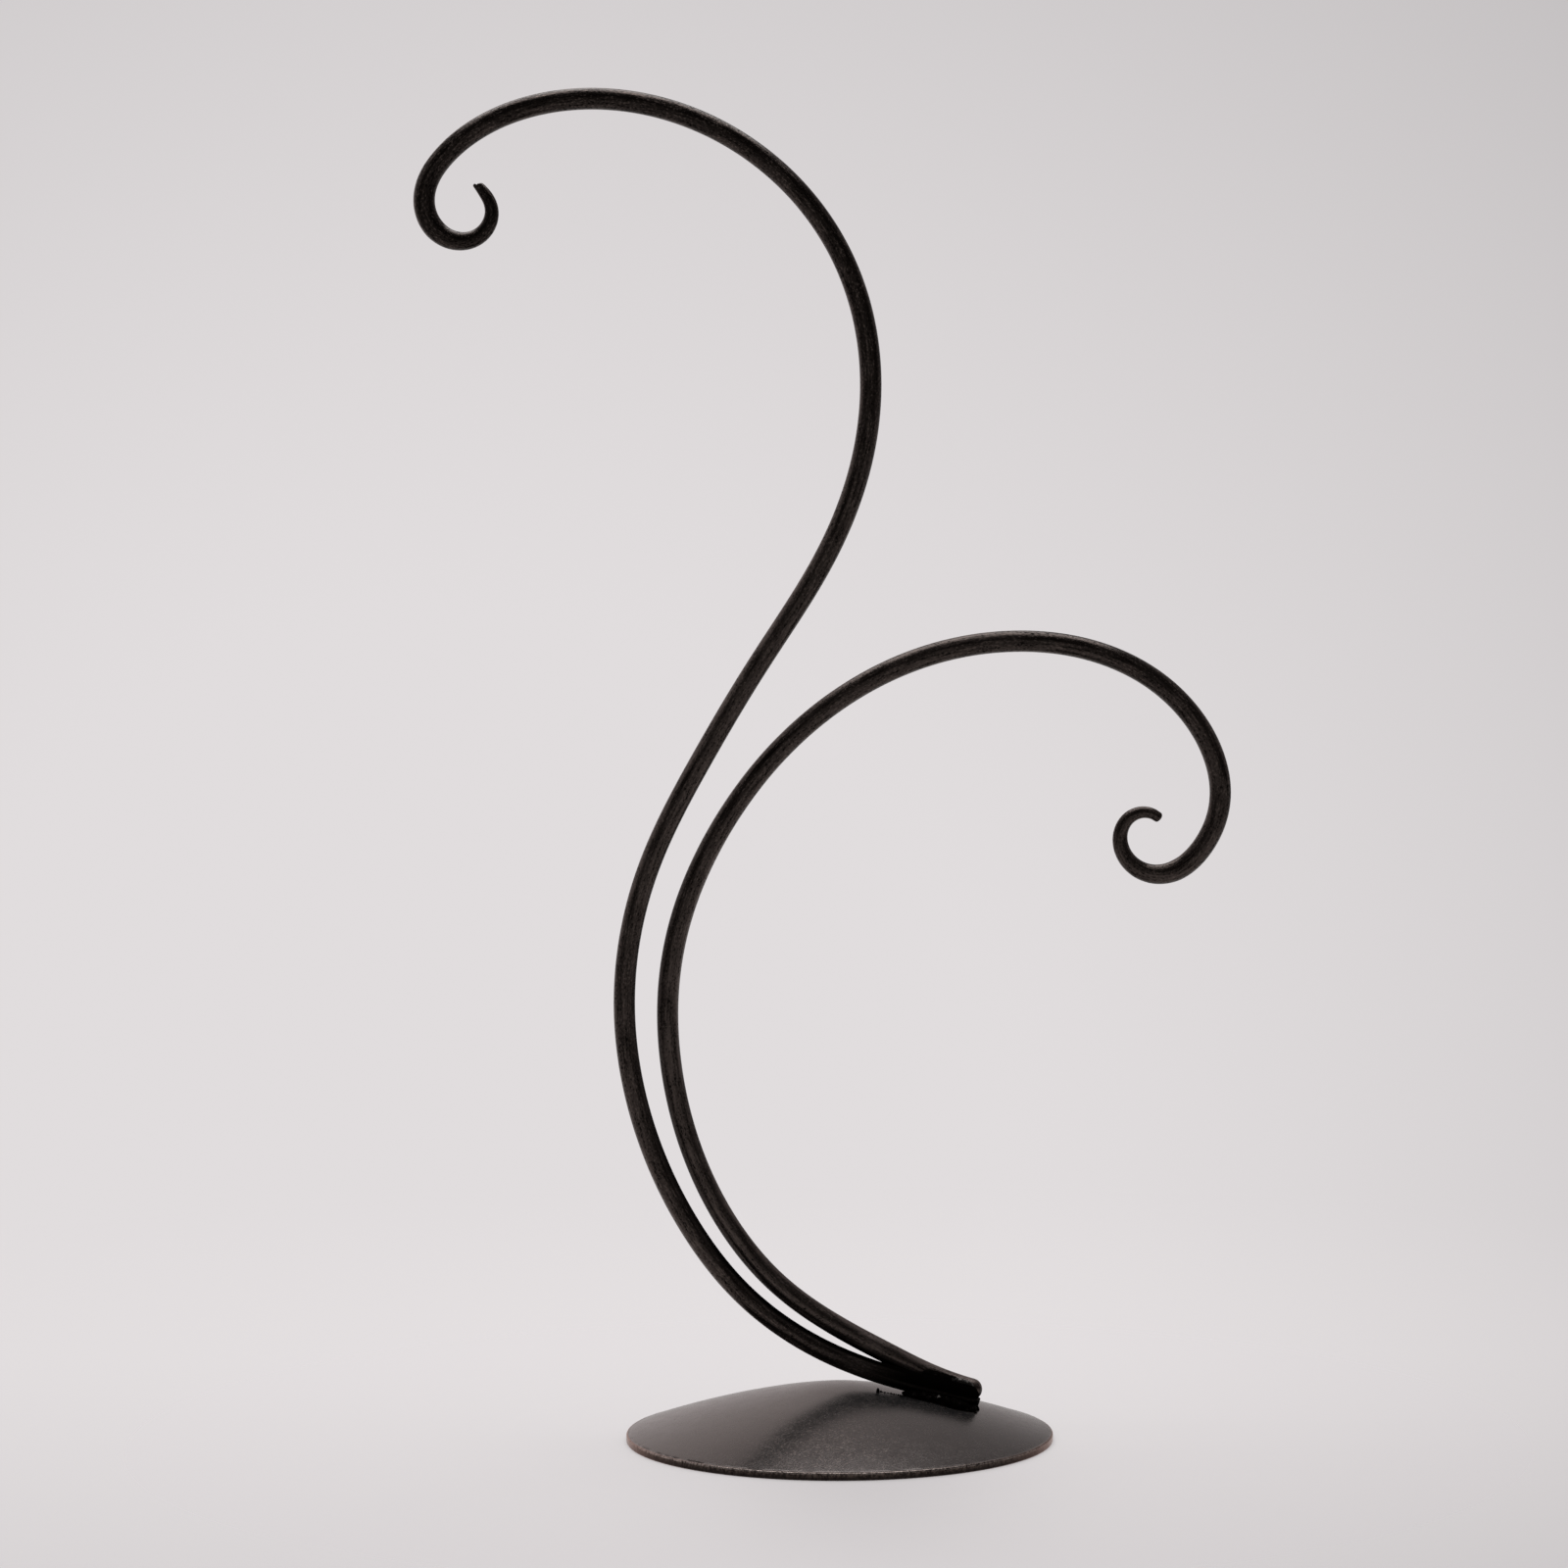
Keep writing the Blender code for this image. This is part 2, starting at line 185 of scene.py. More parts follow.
def smooth(low, high, value):
    """Smoothly from 0 at the first value to 1 at the second, which may also be the lesser one."""
    t = np.clip((value - low) / (high - low), 0, 1)
    return t * t * (3 - 2 * t)


def hump(middle, width, value):
    """1 at the middle, fading to both sides."""
    return np.exp(-((value - middle) / width) ** 2)


# Meshes

def linked(name, data):
    made = bpy.data.objects.new(name, data)
    bpy.context.scene.collection.objects.link(made)
    return made


def mesh_object(name, verts, faces):
    mesh = bpy.data.meshes.new(name)
    mesh.from_pydata([tuple(map(float, v)) for v in verts], [], faces)
    mesh.update()
    mesh.shade_smooth()
    return linked(name, mesh)


def ring_quads(first, count, sides):
    """Faces between rings of points, which follow each other from that first point."""
    quads = []
    for k in range(count - 1):
        for j in range(sides):
            a = first + k * sides + j
            b = first + k * sides + (j + 1) % sides
            quads.append((a, b, b + sides, a + sides))
    return quads


def tube(name, rings):
    """A closed tube through rings of points (count, sides, 3), with a point at the middle of each end."""
    count, sides, _ = rings.shape
    verts = rings.reshape(-1, 3)
    faces = ring_quads(0, count, sides)
    first, last = len(verts), len(verts) + 1
    verts = np.vstack([verts, rings[0].mean(axis=0), rings[-1].mean(axis=0)])
    for j in range(sides):
        faces.append((first, (j + 1) % sides, j))
        faces.append((last, (count - 1) * sides + j, (count - 1) * sides + (j + 1) % sides))
    return mesh_object(name, verts, faces)


def set_attribute(made, name, values, kind="FLOAT", field="value"):
    made.data.attributes.new(name, kind, "POINT")
    made.data.attributes[name].data.foreach_set(field, np.asarray(values, np.float32).ravel())


# Bars. Distances are from the foot's end. A place across is a share of the radius: 1 is to the left of the
# bar's run, so it is below at the foot, inside the tall bar's scroll and outside the short one's

BAR_SIDES = 40
BAR_STEP = 0.0007
END_RINGS = 9
END_FIRST_TURN = 0.06         # where an end's rounding starts beside its middle point, in radians
FACE_SHARES = (0.75, 0.5, 0.25)   # rings on the tip's flat face, as shares of its radius

BAR_INSET = 0.000012          # keeps the finer round of the bars inside the construction's faceted one
BAR_WAVE = 0.000014           # slow unevenness of the drawn bar
BAR_WAVES = (14, 12, 90)      # how many waves, and the fewest and most a metre
TAPER_HAMMER = 0.000045       # flats that the hammer left on the tapered ends
HAMMER_WAVES = (12, 90, 260)
HAMMER_TAPER_SHARES = (1.6, 0.5)   # they come up between these shares of the taper, counted from the tip
PINCH_REACH = 0.0035          # how far back from the tip the end is pinched

# The tips' dressing: how far back it reaches, and how far the end stands out or back, between places across
DRESS_REACH = 0.0014
TALL_NIB = 0.00034
TALL_NIB_SHARES = (0.16, 0.30)
TALL_NIB_CORNER = 0.00012
TALL_NIB_CORNER_SHARES = (0.74, 0.92)
TALL_NOTCH = 0.00024
TALL_NOTCH_SHARES = (0.12, 0.13)   # its middle and width
TALL_OUTER_STEP = 0.00020
TALL_OUTER_STEP_SHARES = (0.1, -0.3)
TALL_OUTER_ROUND = 0.00080
TALL_OUTER_SHARE = 0.05
SHORT_OUTER_ROUND = 0.00030
SHORT_OUTER_SHARE = 0.2
SHORT_INNER_ROUND = 0.00010
SHORT_INNER_SHARE = 0.4

# The tall bar is sooty round its foot from the weld, with painted shade in the fork, but for a lighter line; on
# the side facing the short bar it has painted shade alone
TALL_FOOT_SOOT_AND_PAINTED_SHADE = (0.046, 0.017)
LIGHTER_LINE_SHARES = (0.22, 0.06)   # its middle and width
LIGHTER_LINE_DEPTH = 0.80
# painted shade on the side that faces the short bar
TALL_FACING_PAINTED_SHADE_SHARES = (-0.40, -0.80)
TALL_FACING_PAINTED_SHADE = (0.180, 0.060)

# The short bar is sooty from the weld, with painted shade as well, below a line that climbs along its foot; on
# the side facing the tall bar it has painted shade alone
SHORT_FOOT_SOOT_AND_PAINTED_SHADE = (0.060, 0.035)
SOOT_AND_PAINTED_SHADE_LINE_SHARE = -0.05
SOOT_AND_PAINTED_SHADE_CLIMB_SHARE = 0.75
SOOT_AND_PAINTED_SHADE_CLIMB_LENGTH = 0.050
SOOT_AND_PAINTED_SHADE_END_SHARE = 0.35
SOOT_AND_PAINTED_SHADE_END_LENGTH = 0.007
SOOT_AND_PAINTED_SHADE_SOFT_SHARES = (0.15, 0.25)
# painted shade on the side that faces the tall bar
SHORT_FACING_PAINTED_SHADE_SHARES = (0.55, 0.85)
SHORT_FACING_PAINTED_SHADE = (0.180, 0.150)
SHORT_FACING_PAINTED_SHADE_DEPTH = 0.40

# Shares of a brown bloom on the bars, at distances from the foot's end in metres
TALL_BLOOM = (
    (0.000, 0.30), (0.050, 0.45), (0.100, 0.55), (0.150, 0.70), (0.185, 1.00), (0.230, 0.80),
    (0.265, 0.65), (0.290, 0.35), (0.315, 0.00), (0.485, 0.00),
)
SHORT_BLOOM = (
    (0.000, 0.60), (0.020, 1.00), (0.130, 1.00), (0.165, 0.70), (0.260, 0.55), (0.290, 0.35),
    (0.330, 0.60), (0.381, 0.80),
)

# Painted reflection: how much brighter the metal is made along the tall bar's left side and the short bar's
# right one
TALL_PAINTED_SHEEN = (
    (0.030, 0.0), (0.050, 1.0), (0.080, 1.4), (0.110, 0.9), (0.150, 0.1), (0.240, 0.3), (0.270, 0.6),
    (0.310, 0.0), (0.345, 0.9), (0.360, 0.9), (0.400, 0.4), (0.430, 0.3), (0.460, 0.0),
)
SHORT_PAINTED_SHEEN = (
    (0.000, 1.0), (0.030, 1.0), (0.050, 0.5), (0.090, 0.2), (0.120, 0.2), (0.140, 0.7), (0.180, 0.7),
    (0.210, 0.3), (0.260, 0.4), (0.330, 0.0),
)
# places across between which the painted reflection comes up
PAINTED_SHEEN_SHARES = (0.50, 0.90)


def bar_rings(bar):
    """Distances from the foot's end and radii, from the foot's rounded end to the tip's dressed one."""
    sizes = bar.sizes
    bend = np.linspace(END_FIRST_TURN, math.pi / 2, END_RINGS)
    foot = [(FOOT_ROUND * (1 - math.cos(a)), BAR_RADIUS * math.sin(a)) for a in bend]
    corner = sizes["tip_corner"]
    inside = bar.length - corner
    body = np.arange(FOOT_ROUND, inside, BAR_STEP)[1:-1]
    grow = np.minimum(1, (bar.length - body) / sizes["taper"])
    radii = sizes["tip_radius"] + (BAR_RADIUS - sizes["tip_radius"]) * grow
    end = sizes["tip_radius"] * (1 - corner / sizes["taper"]) + BAR_RADIUS * corner / sizes["taper"]
    tip = [(inside + corner * math.sin(a), end - corner * (1 - math.cos(a))) for a in bend]
    face = [(bar.length, (end - corner) * share) for share in FACE_SHARES]
    rows = np.array(foot + list(zip(body, radii)) + [(inside, end)] + tip + face)
    return rows[:, 0], rows[:, 1]


def tall_tip(across, back):
    """The chisel-cut end: a small nib on the inner side, a notch beside it and a rounded outer corner."""
    near = 1 - smooth(0, DRESS_REACH, back)
    nib = smooth(*TALL_NIB_SHARES, across) * TALL_NIB
    nib = nib - smooth(*TALL_NIB_CORNER_SHARES, across) * TALL_NIB_CORNER
    notch = -TALL_NOTCH * hump(*TALL_NOTCH_SHARES, across)
    outer = -TALL_OUTER_STEP * smooth(*TALL_OUTER_STEP_SHARES, across)
    outer = outer - TALL_OUTER_ROUND * np.clip(-across - TALL_OUTER_SHARE, 0, 1) ** 2
    return near * (nib + notch + outer)


def short_tip(across, back):
    """The blunt end, its outer corner hammered rounder than the inner one."""
    near = 1 - smooth(0, DRESS_REACH, back)
    outer = -SHORT_OUTER_ROUND * np.clip(across + SHORT_OUTER_SHARE, 0, 1 + SHORT_OUTER_SHARE) ** 2
    inner = -SHORT_INNER_ROUND * np.clip(-across - SHORT_INNER_SHARE, 0, 1) ** 2
    return near * (outer + inner)


def tall_soot_and_painted_shade(s, side):
    """How dark the tall bar is, sooty from the weld and with painted shade, at distances from the foot's end
    and places across.
    """
    line = 1 - LIGHTER_LINE_DEPTH * hump(*LIGHTER_LINE_SHARES, side)
    # sooty round the foot from the weld, with painted shade in the fork
    foot = smooth(*TALL_FOOT_SOOT_AND_PAINTED_SHADE, s) * line
    # painted shade where this side faces the short bar
    facing_painted_shade = smooth(*TALL_FACING_PAINTED_SHADE_SHARES, side) * smooth(*TALL_FACING_PAINTED_SHADE, s)
    return np.maximum(foot, facing_painted_shade)


def short_soot_and_painted_shade(s, side):
    """How dark the short bar is, sooty from the weld and with painted shade, at distances from the foot's end
    and places across.
    """
    climb = SOOT_AND_PAINTED_SHADE_CLIMB_SHARE * np.clip(s / SOOT_AND_PAINTED_SHADE_CLIMB_LENGTH, 0, 1)
    line = SOOT_AND_PAINTED_SHADE_LINE_SHARE + climb + SOOT_AND_PAINTED_SHADE_END_SHARE * smooth(SOOT_AND_PAINTED_SHADE_END_LENGTH, 0, s)
    above, below = SOOT_AND_PAINTED_SHADE_SOFT_SHARES
    # sooty along the foot from the weld, with painted shade as well
    foot = smooth(line - above, line + below, side) * smooth(*SHORT_FOOT_SOOT_AND_PAINTED_SHADE, s)
    # painted shade where this side faces the tall bar
    facing_painted_shade = SHORT_FACING_PAINTED_SHADE_DEPTH * smooth(*SHORT_FACING_PAINTED_SHADE_SHARES, side) * smooth(*SHORT_FACING_PAINTED_SHADE, s)
    return np.maximum(foot, facing_painted_shade)


# Each bar's looks, among them its weld soot with painted shade and its painted reflection along one side
TALL_LOOKS = {
    "seed": 3, "tip": tall_tip, "soot_and_painted_shade": tall_soot_and_painted_shade,
    "bloom": TALL_BLOOM, "painted_sheen": TALL_PAINTED_SHEEN, "painted_sheen_side": 1,
}
SHORT_LOOKS = {
    "seed": 7, "tip": short_tip, "soot_and_painted_shade": short_soot_and_painted_shade,
    "bloom": SHORT_BLOOM, "painted_sheen": SHORT_PAINTED_SHEEN, "painted_sheen_side": -1,
}


def build_bar(name, bar, y, looks):
    """A bar in the plane at that y, with the attributes that its finish reads."""
    distance, radius = bar_rings(bar)
    angle = np.arange(BAR_SIDES) * 2 * math.pi / BAR_SIDES
    s, a = np.meshgrid(distance, angle, indexing="ij")
    r = np.repeat(radius[:, None], BAR_SIDES, axis=1)
    full = np.minimum(1, r / BAR_RADIUS)
    back = bar.length - s

    # The unevenness only takes away, so the sides stay inside the construction's
    wave = (unevenness(waves(looks["seed"], *BAR_WAVES), s, a) - 1) / 2 * BAR_WAVE
    hammer_from, hammer_full = (bar.sizes["taper"] * share for share in HAMMER_TAPER_SHARES)
    in_taper = smooth(hammer_from, hammer_full, back)
    hammer = (unevenness(waves(looks["seed"] + 1, *HAMMER_WAVES), s, a) - 1) / 2 * TAPER_HAMMER * in_taper
    pinch = bar.sizes["pinch_share"] * smooth(PINCH_REACH, 0, back)
    r = (r - BAR_INSET + (wave + hammer) * full) * (1 - pinch)

    across = r * np.cos(a)
    ahead = looks["tip"](across / bar.sizes["tip_radius"], back)
    x, z, heading = bar.at(s)
    x = x + across * -np.sin(heading) + ahead * np.cos(heading)
    z = z + across * np.cos(heading) + ahead * np.sin(heading)
    made = tube(name, np.stack([x, y - r * np.sin(a), z], axis=-1))

    straight = np.stack([s + ahead, across, r * np.sin(a)], axis=-1).reshape(-1, 3)
    ends = [(distance[0], 0, 0), (distance[-1], 0, 0)]
    set_attribute(made, "straight_bar", np.vstack([straight, ends]), "FLOAT_VECTOR", "vector")
    # weld soot, with painted shade in the fork and where the bars face each other
    soot_and_painted_shade = looks["soot_and_painted_shade"](s, np.cos(a)).ravel()
    set_attribute(made, "soot_and_painted_shade", np.concatenate([soot_and_painted_shade, [soot_and_painted_shade[0], 0]]))
    # the brown bloom, with the painted reflection along one side added to it
    bloom, painted_sheen = (np.interp(s, *np.transpose(looks[table])) for table in ("bloom", "painted_sheen"))
    brown = (bloom + painted_sheen * smooth(*PAINTED_SHEEN_SHARES, looks["painted_sheen_side"] * np.cos(a))).ravel()
    set_attribute(made, "bloom", np.concatenate([brown, [brown[0], brown[-1]]]))
    return made


# Weld beads: (distance from the foot's end, outwards of the bar's plane, above the dish, radius) in metres

FRONT_BEAD = (
    (0.0008, 0.0025, 0.0004, 0.0006), (0.0027, 0.0028, 0.0005, 0.0011), (0.0052, 0.0034, 0.0006, 0.0015),
    (0.0080, 0.0031, 0.0006, 0.0014), (0.0110, 0.0024, 0.0007, 0.0013), (0.0145, 0.0022, 0.0007, 0.0012),
    (0.0168, 0.0018, 0.0006, 0.0009), (0.0188, 0.0013, 0.0004, 0.0003),
)
REAR_BEAD = (
    (0.0006, 0.0022, 0.0009, 0.0009), (0.0030, 0.0026, 0.0010, 0.0015), (0.0070, 0.0027, 0.0010, 0.0016),
    (0.0120, 0.0025, 0.0011, 0.0015), (0.0160, 0.0023, 0.0011, 0.0012), (0.0190, 0.0018, 0.0010, 0.0006),
)
BEAD_SIDES = 28
BEAD_STEP = 0.00012
BEAD_WAVES = (16, 120, 900)   # how many waves of unevenness, and the fewest and most a metre
RIPPLE_LAG_SHARE = 0.55       # how far a ripple's sides lag behind its top, of the pitch
RIPPLE_LEVEL = 0.6            # the part of a drop's height that leaves the radius as it is

# A bead's pitch of drops in metres, and the shares of its radius that they and the unevenness add or take
FOOT_RIPPLES = {"pitch": 0.0017, "ripple_share": 0.14, "lump_share": 0.12}
SEAM_RIPPLES = {"pitch": 0.0021, "ripple_share": 0.12, "lump_share": 0.12}

# The seam between the bars: its ends and points, its radius, and how far it lies out of the line between them
SEAM_START = 0.0012
SEAM_END = 0.0135
SEAM_POINTS = 110
SEAM_RADIUS = 0.00125
SEAM_END_SHARE = 0.25
SEAM_BLUNTNESS = 6
SEAM_OUT_SHARE = 0.62
SEAM_POLISH = (0.0080, 0.0040)

FRONT_POLISH = 0.10
REAR_POLISH = 0.45
FRONT_SEED = 11
REAR_SEED = 13
SEAM_SEED = 19


def bead(name, centres, radii, polish, seed, pitch, ripple_share, lump_share):
    """A weld bead swept through its centres, rippled like a row of overlapping drops."""
    centres, radii = np.asarray(centres, float), np.asarray(radii, float)
    ahead = np.gradient(centres, axis=0)
    ahead /= np.linalg.norm(ahead, axis=1)[:, None]
    side = np.cross(ahead, (0, 0, 1))
    side /= np.linalg.norm(side, axis=1)[:, None]
    top = np.cross(side, ahead)
    along = np.concatenate([[0], np.cumsum(np.linalg.norm(np.diff(centres, axis=0), axis=1))])
    angle = np.arange(BEAD_SIDES) * 2 * math.pi / BEAD_SIDES
    s, a = np.meshgrid(along, angle, indexing="ij")
    lag = pitch * RIPPLE_LAG_SHARE * (1 - np.cos(a))
    phase = ((s + lag) / pitch) % 1.0
    drop = np.sqrt(np.clip(1 - (2 * phase - 1) ** 2, 0, 1))
    uneven = unevenness(waves(seed, *BEAD_WAVES), s, a)
    r = radii[:, None] * (1 + ripple_share * (drop - RIPPLE_LEVEL) + lump_share * uneven)
    places = centres[:, None] + r[..., None] * (
        np.cos(a)[..., None] * top[:, None] + np.sin(a)[..., None] * side[:, None])
    made = tube(name, places)
    polish = np.repeat(polish, BEAD_SIDES)
    set_attribute(made, "polish", np.concatenate([polish, [polish[0], polish[-1]]]))
    return made


def bead_line(table):
    """The rows of a bead's table, smoothed and closely spaced."""
    rows = np.array(table)
    share = np.linspace(0, 1, len(rows))
    count = int((rows[-1, 0] - rows[0, 0]) / BEAD_STEP)
    fine = np.linspace(0, 1, count)
    return np.stack([blend(list(zip(share, rows[:, k])), fine) for k in range(4)], axis=-1)


def foot_bead(name, dome, bar, side, table, polish, seed):
    """The bead between a bar's foot and the dish, in front where side is -1 and behind where it is 1."""
    centres, radii = [], []
    for distance, out, up, radius in bead_line(table):
        x, _, _ = bar.at(distance)
        y = side * (BAR_PLANE + out)
        centres.append((x, y, dome.height(math.hypot(x - AXIS_X, y)) + up))
        radii.append(radius)
    return bead(name, centres, radii, np.full(len(radii), polish), seed, **FOOT_RIPPLES)


def seam_bead(name, tall, short):
    """The bead in the valley on top of the two feet."""
    centres, radii = [], []
    distances = np.linspace(SEAM_START, SEAM_END, SEAM_POINTS)
    for distance in distances:
        t = (distance - SEAM_START) / (SEAM_END - SEAM_START)
        x, tall_z, _ = tall.at(distance)
        short_z = short.height_at(x)
        apart = math.hypot(2 * BAR_PLANE, short_z - tall_z)
        out = SEAM_OUT_SHARE * BAR_RADIUS / apart
        centres.append((x, -(short_z - tall_z) * out, (tall_z + short_z) / 2 + 2 * BAR_PLANE * out))
        full = math.sqrt(max(0, 1 - (2 * t - 1) ** SEAM_BLUNTNESS))
        radii.append(SEAM_RADIUS * max(SEAM_END_SHARE, full))
    return bead(name, centres, radii, smooth(*SEAM_POLISH, distances), SEAM_SEED, **SEAM_RIPPLES)


# Spatter on the dish: (x from the axis, y and radius in metres, how tall for its radius)

DROPS = (
    (0.0091, -0.0052, 0.00042, 1.9), (0.0098, -0.0046, 0.00028, 1.0), (0.0327, -0.0020, 0.00060, 1.4),
    (0.0322, -0.0060, 0.00040, 0.9), (0.0250, -0.0088, 0.00022, 0.8), (0.0180, 0.0082, 0.00030, 0.9),
    (0.0296, 0.0091, 0.00026, 0.8),
)
DROP_SIDES = 14
DROP_RINGS = 8
DROP_SUNK_SHARE = 0.25        # of a drop's radius, below the dish's face
DROP_HEIGHT_SHARE = 1.25
DROP_SHOULDER = 0.8           # less than 1 makes a drop fuller than a ball

# A crumbly line of it ahead of the front bead: its ends, and how scattered, large and tall the crumbs are
CRUMB_LINE = ((0.0101, -0.0048), (0.0156, -0.0051))
CRUMB_COUNT = 17
CRUMB_SEED = 29
CRUMB_SHIFT_SHARE = 0.8
CRUMB_ASIDE = 0.00022
CRUMB_RADII = (0.00012, 0.00030)
CRUMB_HEIGHT_SHARES = (0.4, 1.0)


def crumbs():
    """Rows like those of DROPS, scattered along the line of crumbs."""
    rng = np.random.default_rng(CRUMB_SEED)
    (x0, y0), (x1, y1) = CRUMB_LINE
    rows = []
    for k in range(CRUMB_COUNT):
        share = (k + rng.uniform(0.0, CRUMB_SHIFT_SHARE)) / CRUMB_COUNT
        aside = rng.uniform(-CRUMB_ASIDE, CRUMB_ASIDE)
        size = rng.uniform(*CRUMB_RADII)
        tall = rng.uniform(*CRUMB_HEIGHT_SHARES)
        rows.append((x0 + (x1 - x0) * share, y0 + (y1 - y0) * share + aside, size, tall))
    return rows


def spatter(name, dome, drops):
    """Drops that froze on the dish, from rows like those of DROPS."""
    verts, faces = [], []
    for x, y, radius, tall in drops:
        base = len(verts)
        floor = dome.height(math.hypot(x, y)) - DROP_SUNK_SHARE * radius
        for k in range(DROP_RINGS):
            up = math.pi / 2 * k / DROP_RINGS
            for j in range(DROP_SIDES):
                turn = 2 * math.pi * j / DROP_SIDES
                out = radius * math.cos(up) ** DROP_SHOULDER
                place = (AXIS_X + x + out * math.cos(turn), y + out * math.sin(turn))
                verts.append((*place, floor + DROP_HEIGHT_SHARE * tall * radius * math.sin(up)))
        verts.append((AXIS_X + x, y, floor + DROP_HEIGHT_SHARE * tall * radius))
        verts.append((AXIS_X + x, y, floor))
        faces.extend(ring_quads(base, DROP_RINGS, DROP_SIDES))
        last = base + (DROP_RINGS - 1) * DROP_SIDES
        crown, under = last + DROP_SIDES, last + DROP_SIDES + 1
        for j in range(DROP_SIDES):
            faces.append((last + j, last + (j + 1) % DROP_SIDES, crown))
            faces.append((base + (j + 1) % DROP_SIDES, base + j, under))
    made = mesh_object(name, verts, faces)
    set_attribute(made, "polish", np.zeros(len(verts)))
    return made


# Dish

DISH_SEGMENTS = 320
TOP_ROWS = 90                 # rows of points on the outer face, and closer ones beside its rim
BESIDE_RIM_ROWS = 9
CORNER_ROWS = 7
BAND_ROWS = 12
HEEL_ROWS = 6
UNDER_ROWS = 50
TOP_END_ROUNDS = 4            # insets of the rows beside the rim, as times the rim's rounding
BESIDE_RIM_ROUNDS = (3.8, 0.4)

# How worn and how dark the parts of the rim are, from 0 to 1; the dark is partly painted shade, deepest where
# the rim meets the floor
BESIDE_RIM_WEAR = 0.06
CORNER_WEAR = 1
CORNER_DARK = 0.30
BAND_WEAR = 0.03
BAND_DARK_AND_PAINTED_SHADE = 0.16              # the sheared band darkens downwards, from this to 1, partly as painted shade
HEEL_WEAR = 0.10
LAND_WEAR = 0.2
CHIPPED_BAND = (0.0040, 0.0010)   # insets from the rim between which chips become common

# Unevenness of the pressed sheet: how high, how far from the rim, how many waves, and how many a metre
DISH_WAVE = 0.00003
DISH_WAVE_INSET = 0.008
DISH_WAVE_SEED = 41
DISH_WAVE_COUNT = 16
DISH_WAVES = (18, 75)

# The burr along the rim's upper edge: its height, inset and width, and how it breaks up round the dish
BURR_HEIGHT = 0.00009
BURR_INSET = 0.00035
BURR_WIDTH = 0.00013
BURR_BREAKS = ((3, 0.6), (11, 2.1))   # times round the dish, and phase
BURR_JAGS = (37, 53, 71, 97)          # times round the dish
BURR_JAG_SHARE = 0.35
BURR_MOST_SHARE = 1.2

# The nicks just inside it: how deep, how far from the rim and how wide, and about which turn most of them lie
NICK_DEPTH = 0.00030
NICK_INSET = 0.00078
NICK_WIDTH = 0.00020
NICK_TURN = math.radians(222)
NICK_SPREAD = 0.45
NICKS_ELSEWHERE = 0.15
NICK_JAGS = (29, 47, 83, 109)
NICK_FROM = (-0.10, 0.20)
NICK_CHIPS = 2.0
WEAR_ELSEWHERE = 0.72         # the rim is worn less away from them

# The sheared edge isn't quite true
RAGGED_BAND = 0.0004
RAGGED_DEPTH = 0.00003
RAGGED_JAGS = (19, 31, 67, 113, 151)

ON_TOP_SHARE = 0.7            # of the sheet's thickness, above which a point is on the rim's upper side


def dish_section(dome):
    """(radius, height, wear, dark) points from the middle of the outer face, round the rim, to below."""
    rows = []
    for radius in np.linspace(0, DISH_RADIUS - TOP_END_ROUNDS * RIM_ROUND, TOP_ROWS):
        rows.append((radius, dome.height(radius), 0, 0))
    inset = DISH_RADIUS - RIM_ROUND
    upper = dome.height(inset) - RIM_ROUND
    far, near = BESIDE_RIM_ROUNDS
    for radius in np.linspace(DISH_RADIUS - far * RIM_ROUND, inset - RIM_ROUND * near, BESIDE_RIM_ROWS):
        rows.append((radius, dome.height(radius), BESIDE_RIM_WEAR, 0))
    for turn in np.linspace(dome.slope_at(inset), math.pi / 2, CORNER_ROWS):
        height = upper + RIM_ROUND * math.cos(turn)
        rows.append((inset + RIM_ROUND * math.sin(turn), height, CORNER_WEAR, CORNER_DARK))
    for share in np.linspace(0, 1, BAND_ROWS)[1:-1]:
        height = upper + (RIM_ROUND - upper) * share
        rows.append((DISH_RADIUS, height, BAND_WEAR, BAND_DARK_AND_PAINTED_SHADE + (1 - BAND_DARK_AND_PAINTED_SHADE) * share))
    # the heel and the land beneath are darkest, with painted shade where the rim meets the floor
    for turn in np.linspace(math.pi / 2, math.pi, HEEL_ROWS):
        height = RIM_ROUND + RIM_ROUND * math.cos(turn)
        rows.append((inset + RIM_ROUND * math.sin(turn), height, HEEL_WEAR, 1))
    rows.append((DISH_RADIUS - RIM_LAND, 0, LAND_WEAR, 1))
    for radius in np.linspace(DISH_RADIUS - RIM_LAND, 0, UNDER_ROWS)[1:]:
        rows.append((radius, dome.height(radius, -SHEET), 0, 0))
    return np.array(rows)


def sheet_wave(x, y):
    """The pressed sheet's slight unevenness, which shows in its soft reflections, between -1 and 1."""
    rng = np.random.default_rng(DISH_WAVE_SEED)
    uneven = np.zeros_like(x)
    for _ in range(DISH_WAVE_COUNT):
        way = rng.uniform(0, 2 * math.pi)
        frequency = rng.uniform(*DISH_WAVES)
        phase = rng.uniform(0, 2 * math.pi)
        run = x * math.cos(way) + y * math.sin(way)
        uneven += np.sin(2 * math.pi * frequency * run + phase) / DISH_WAVE_COUNT
    return uneven


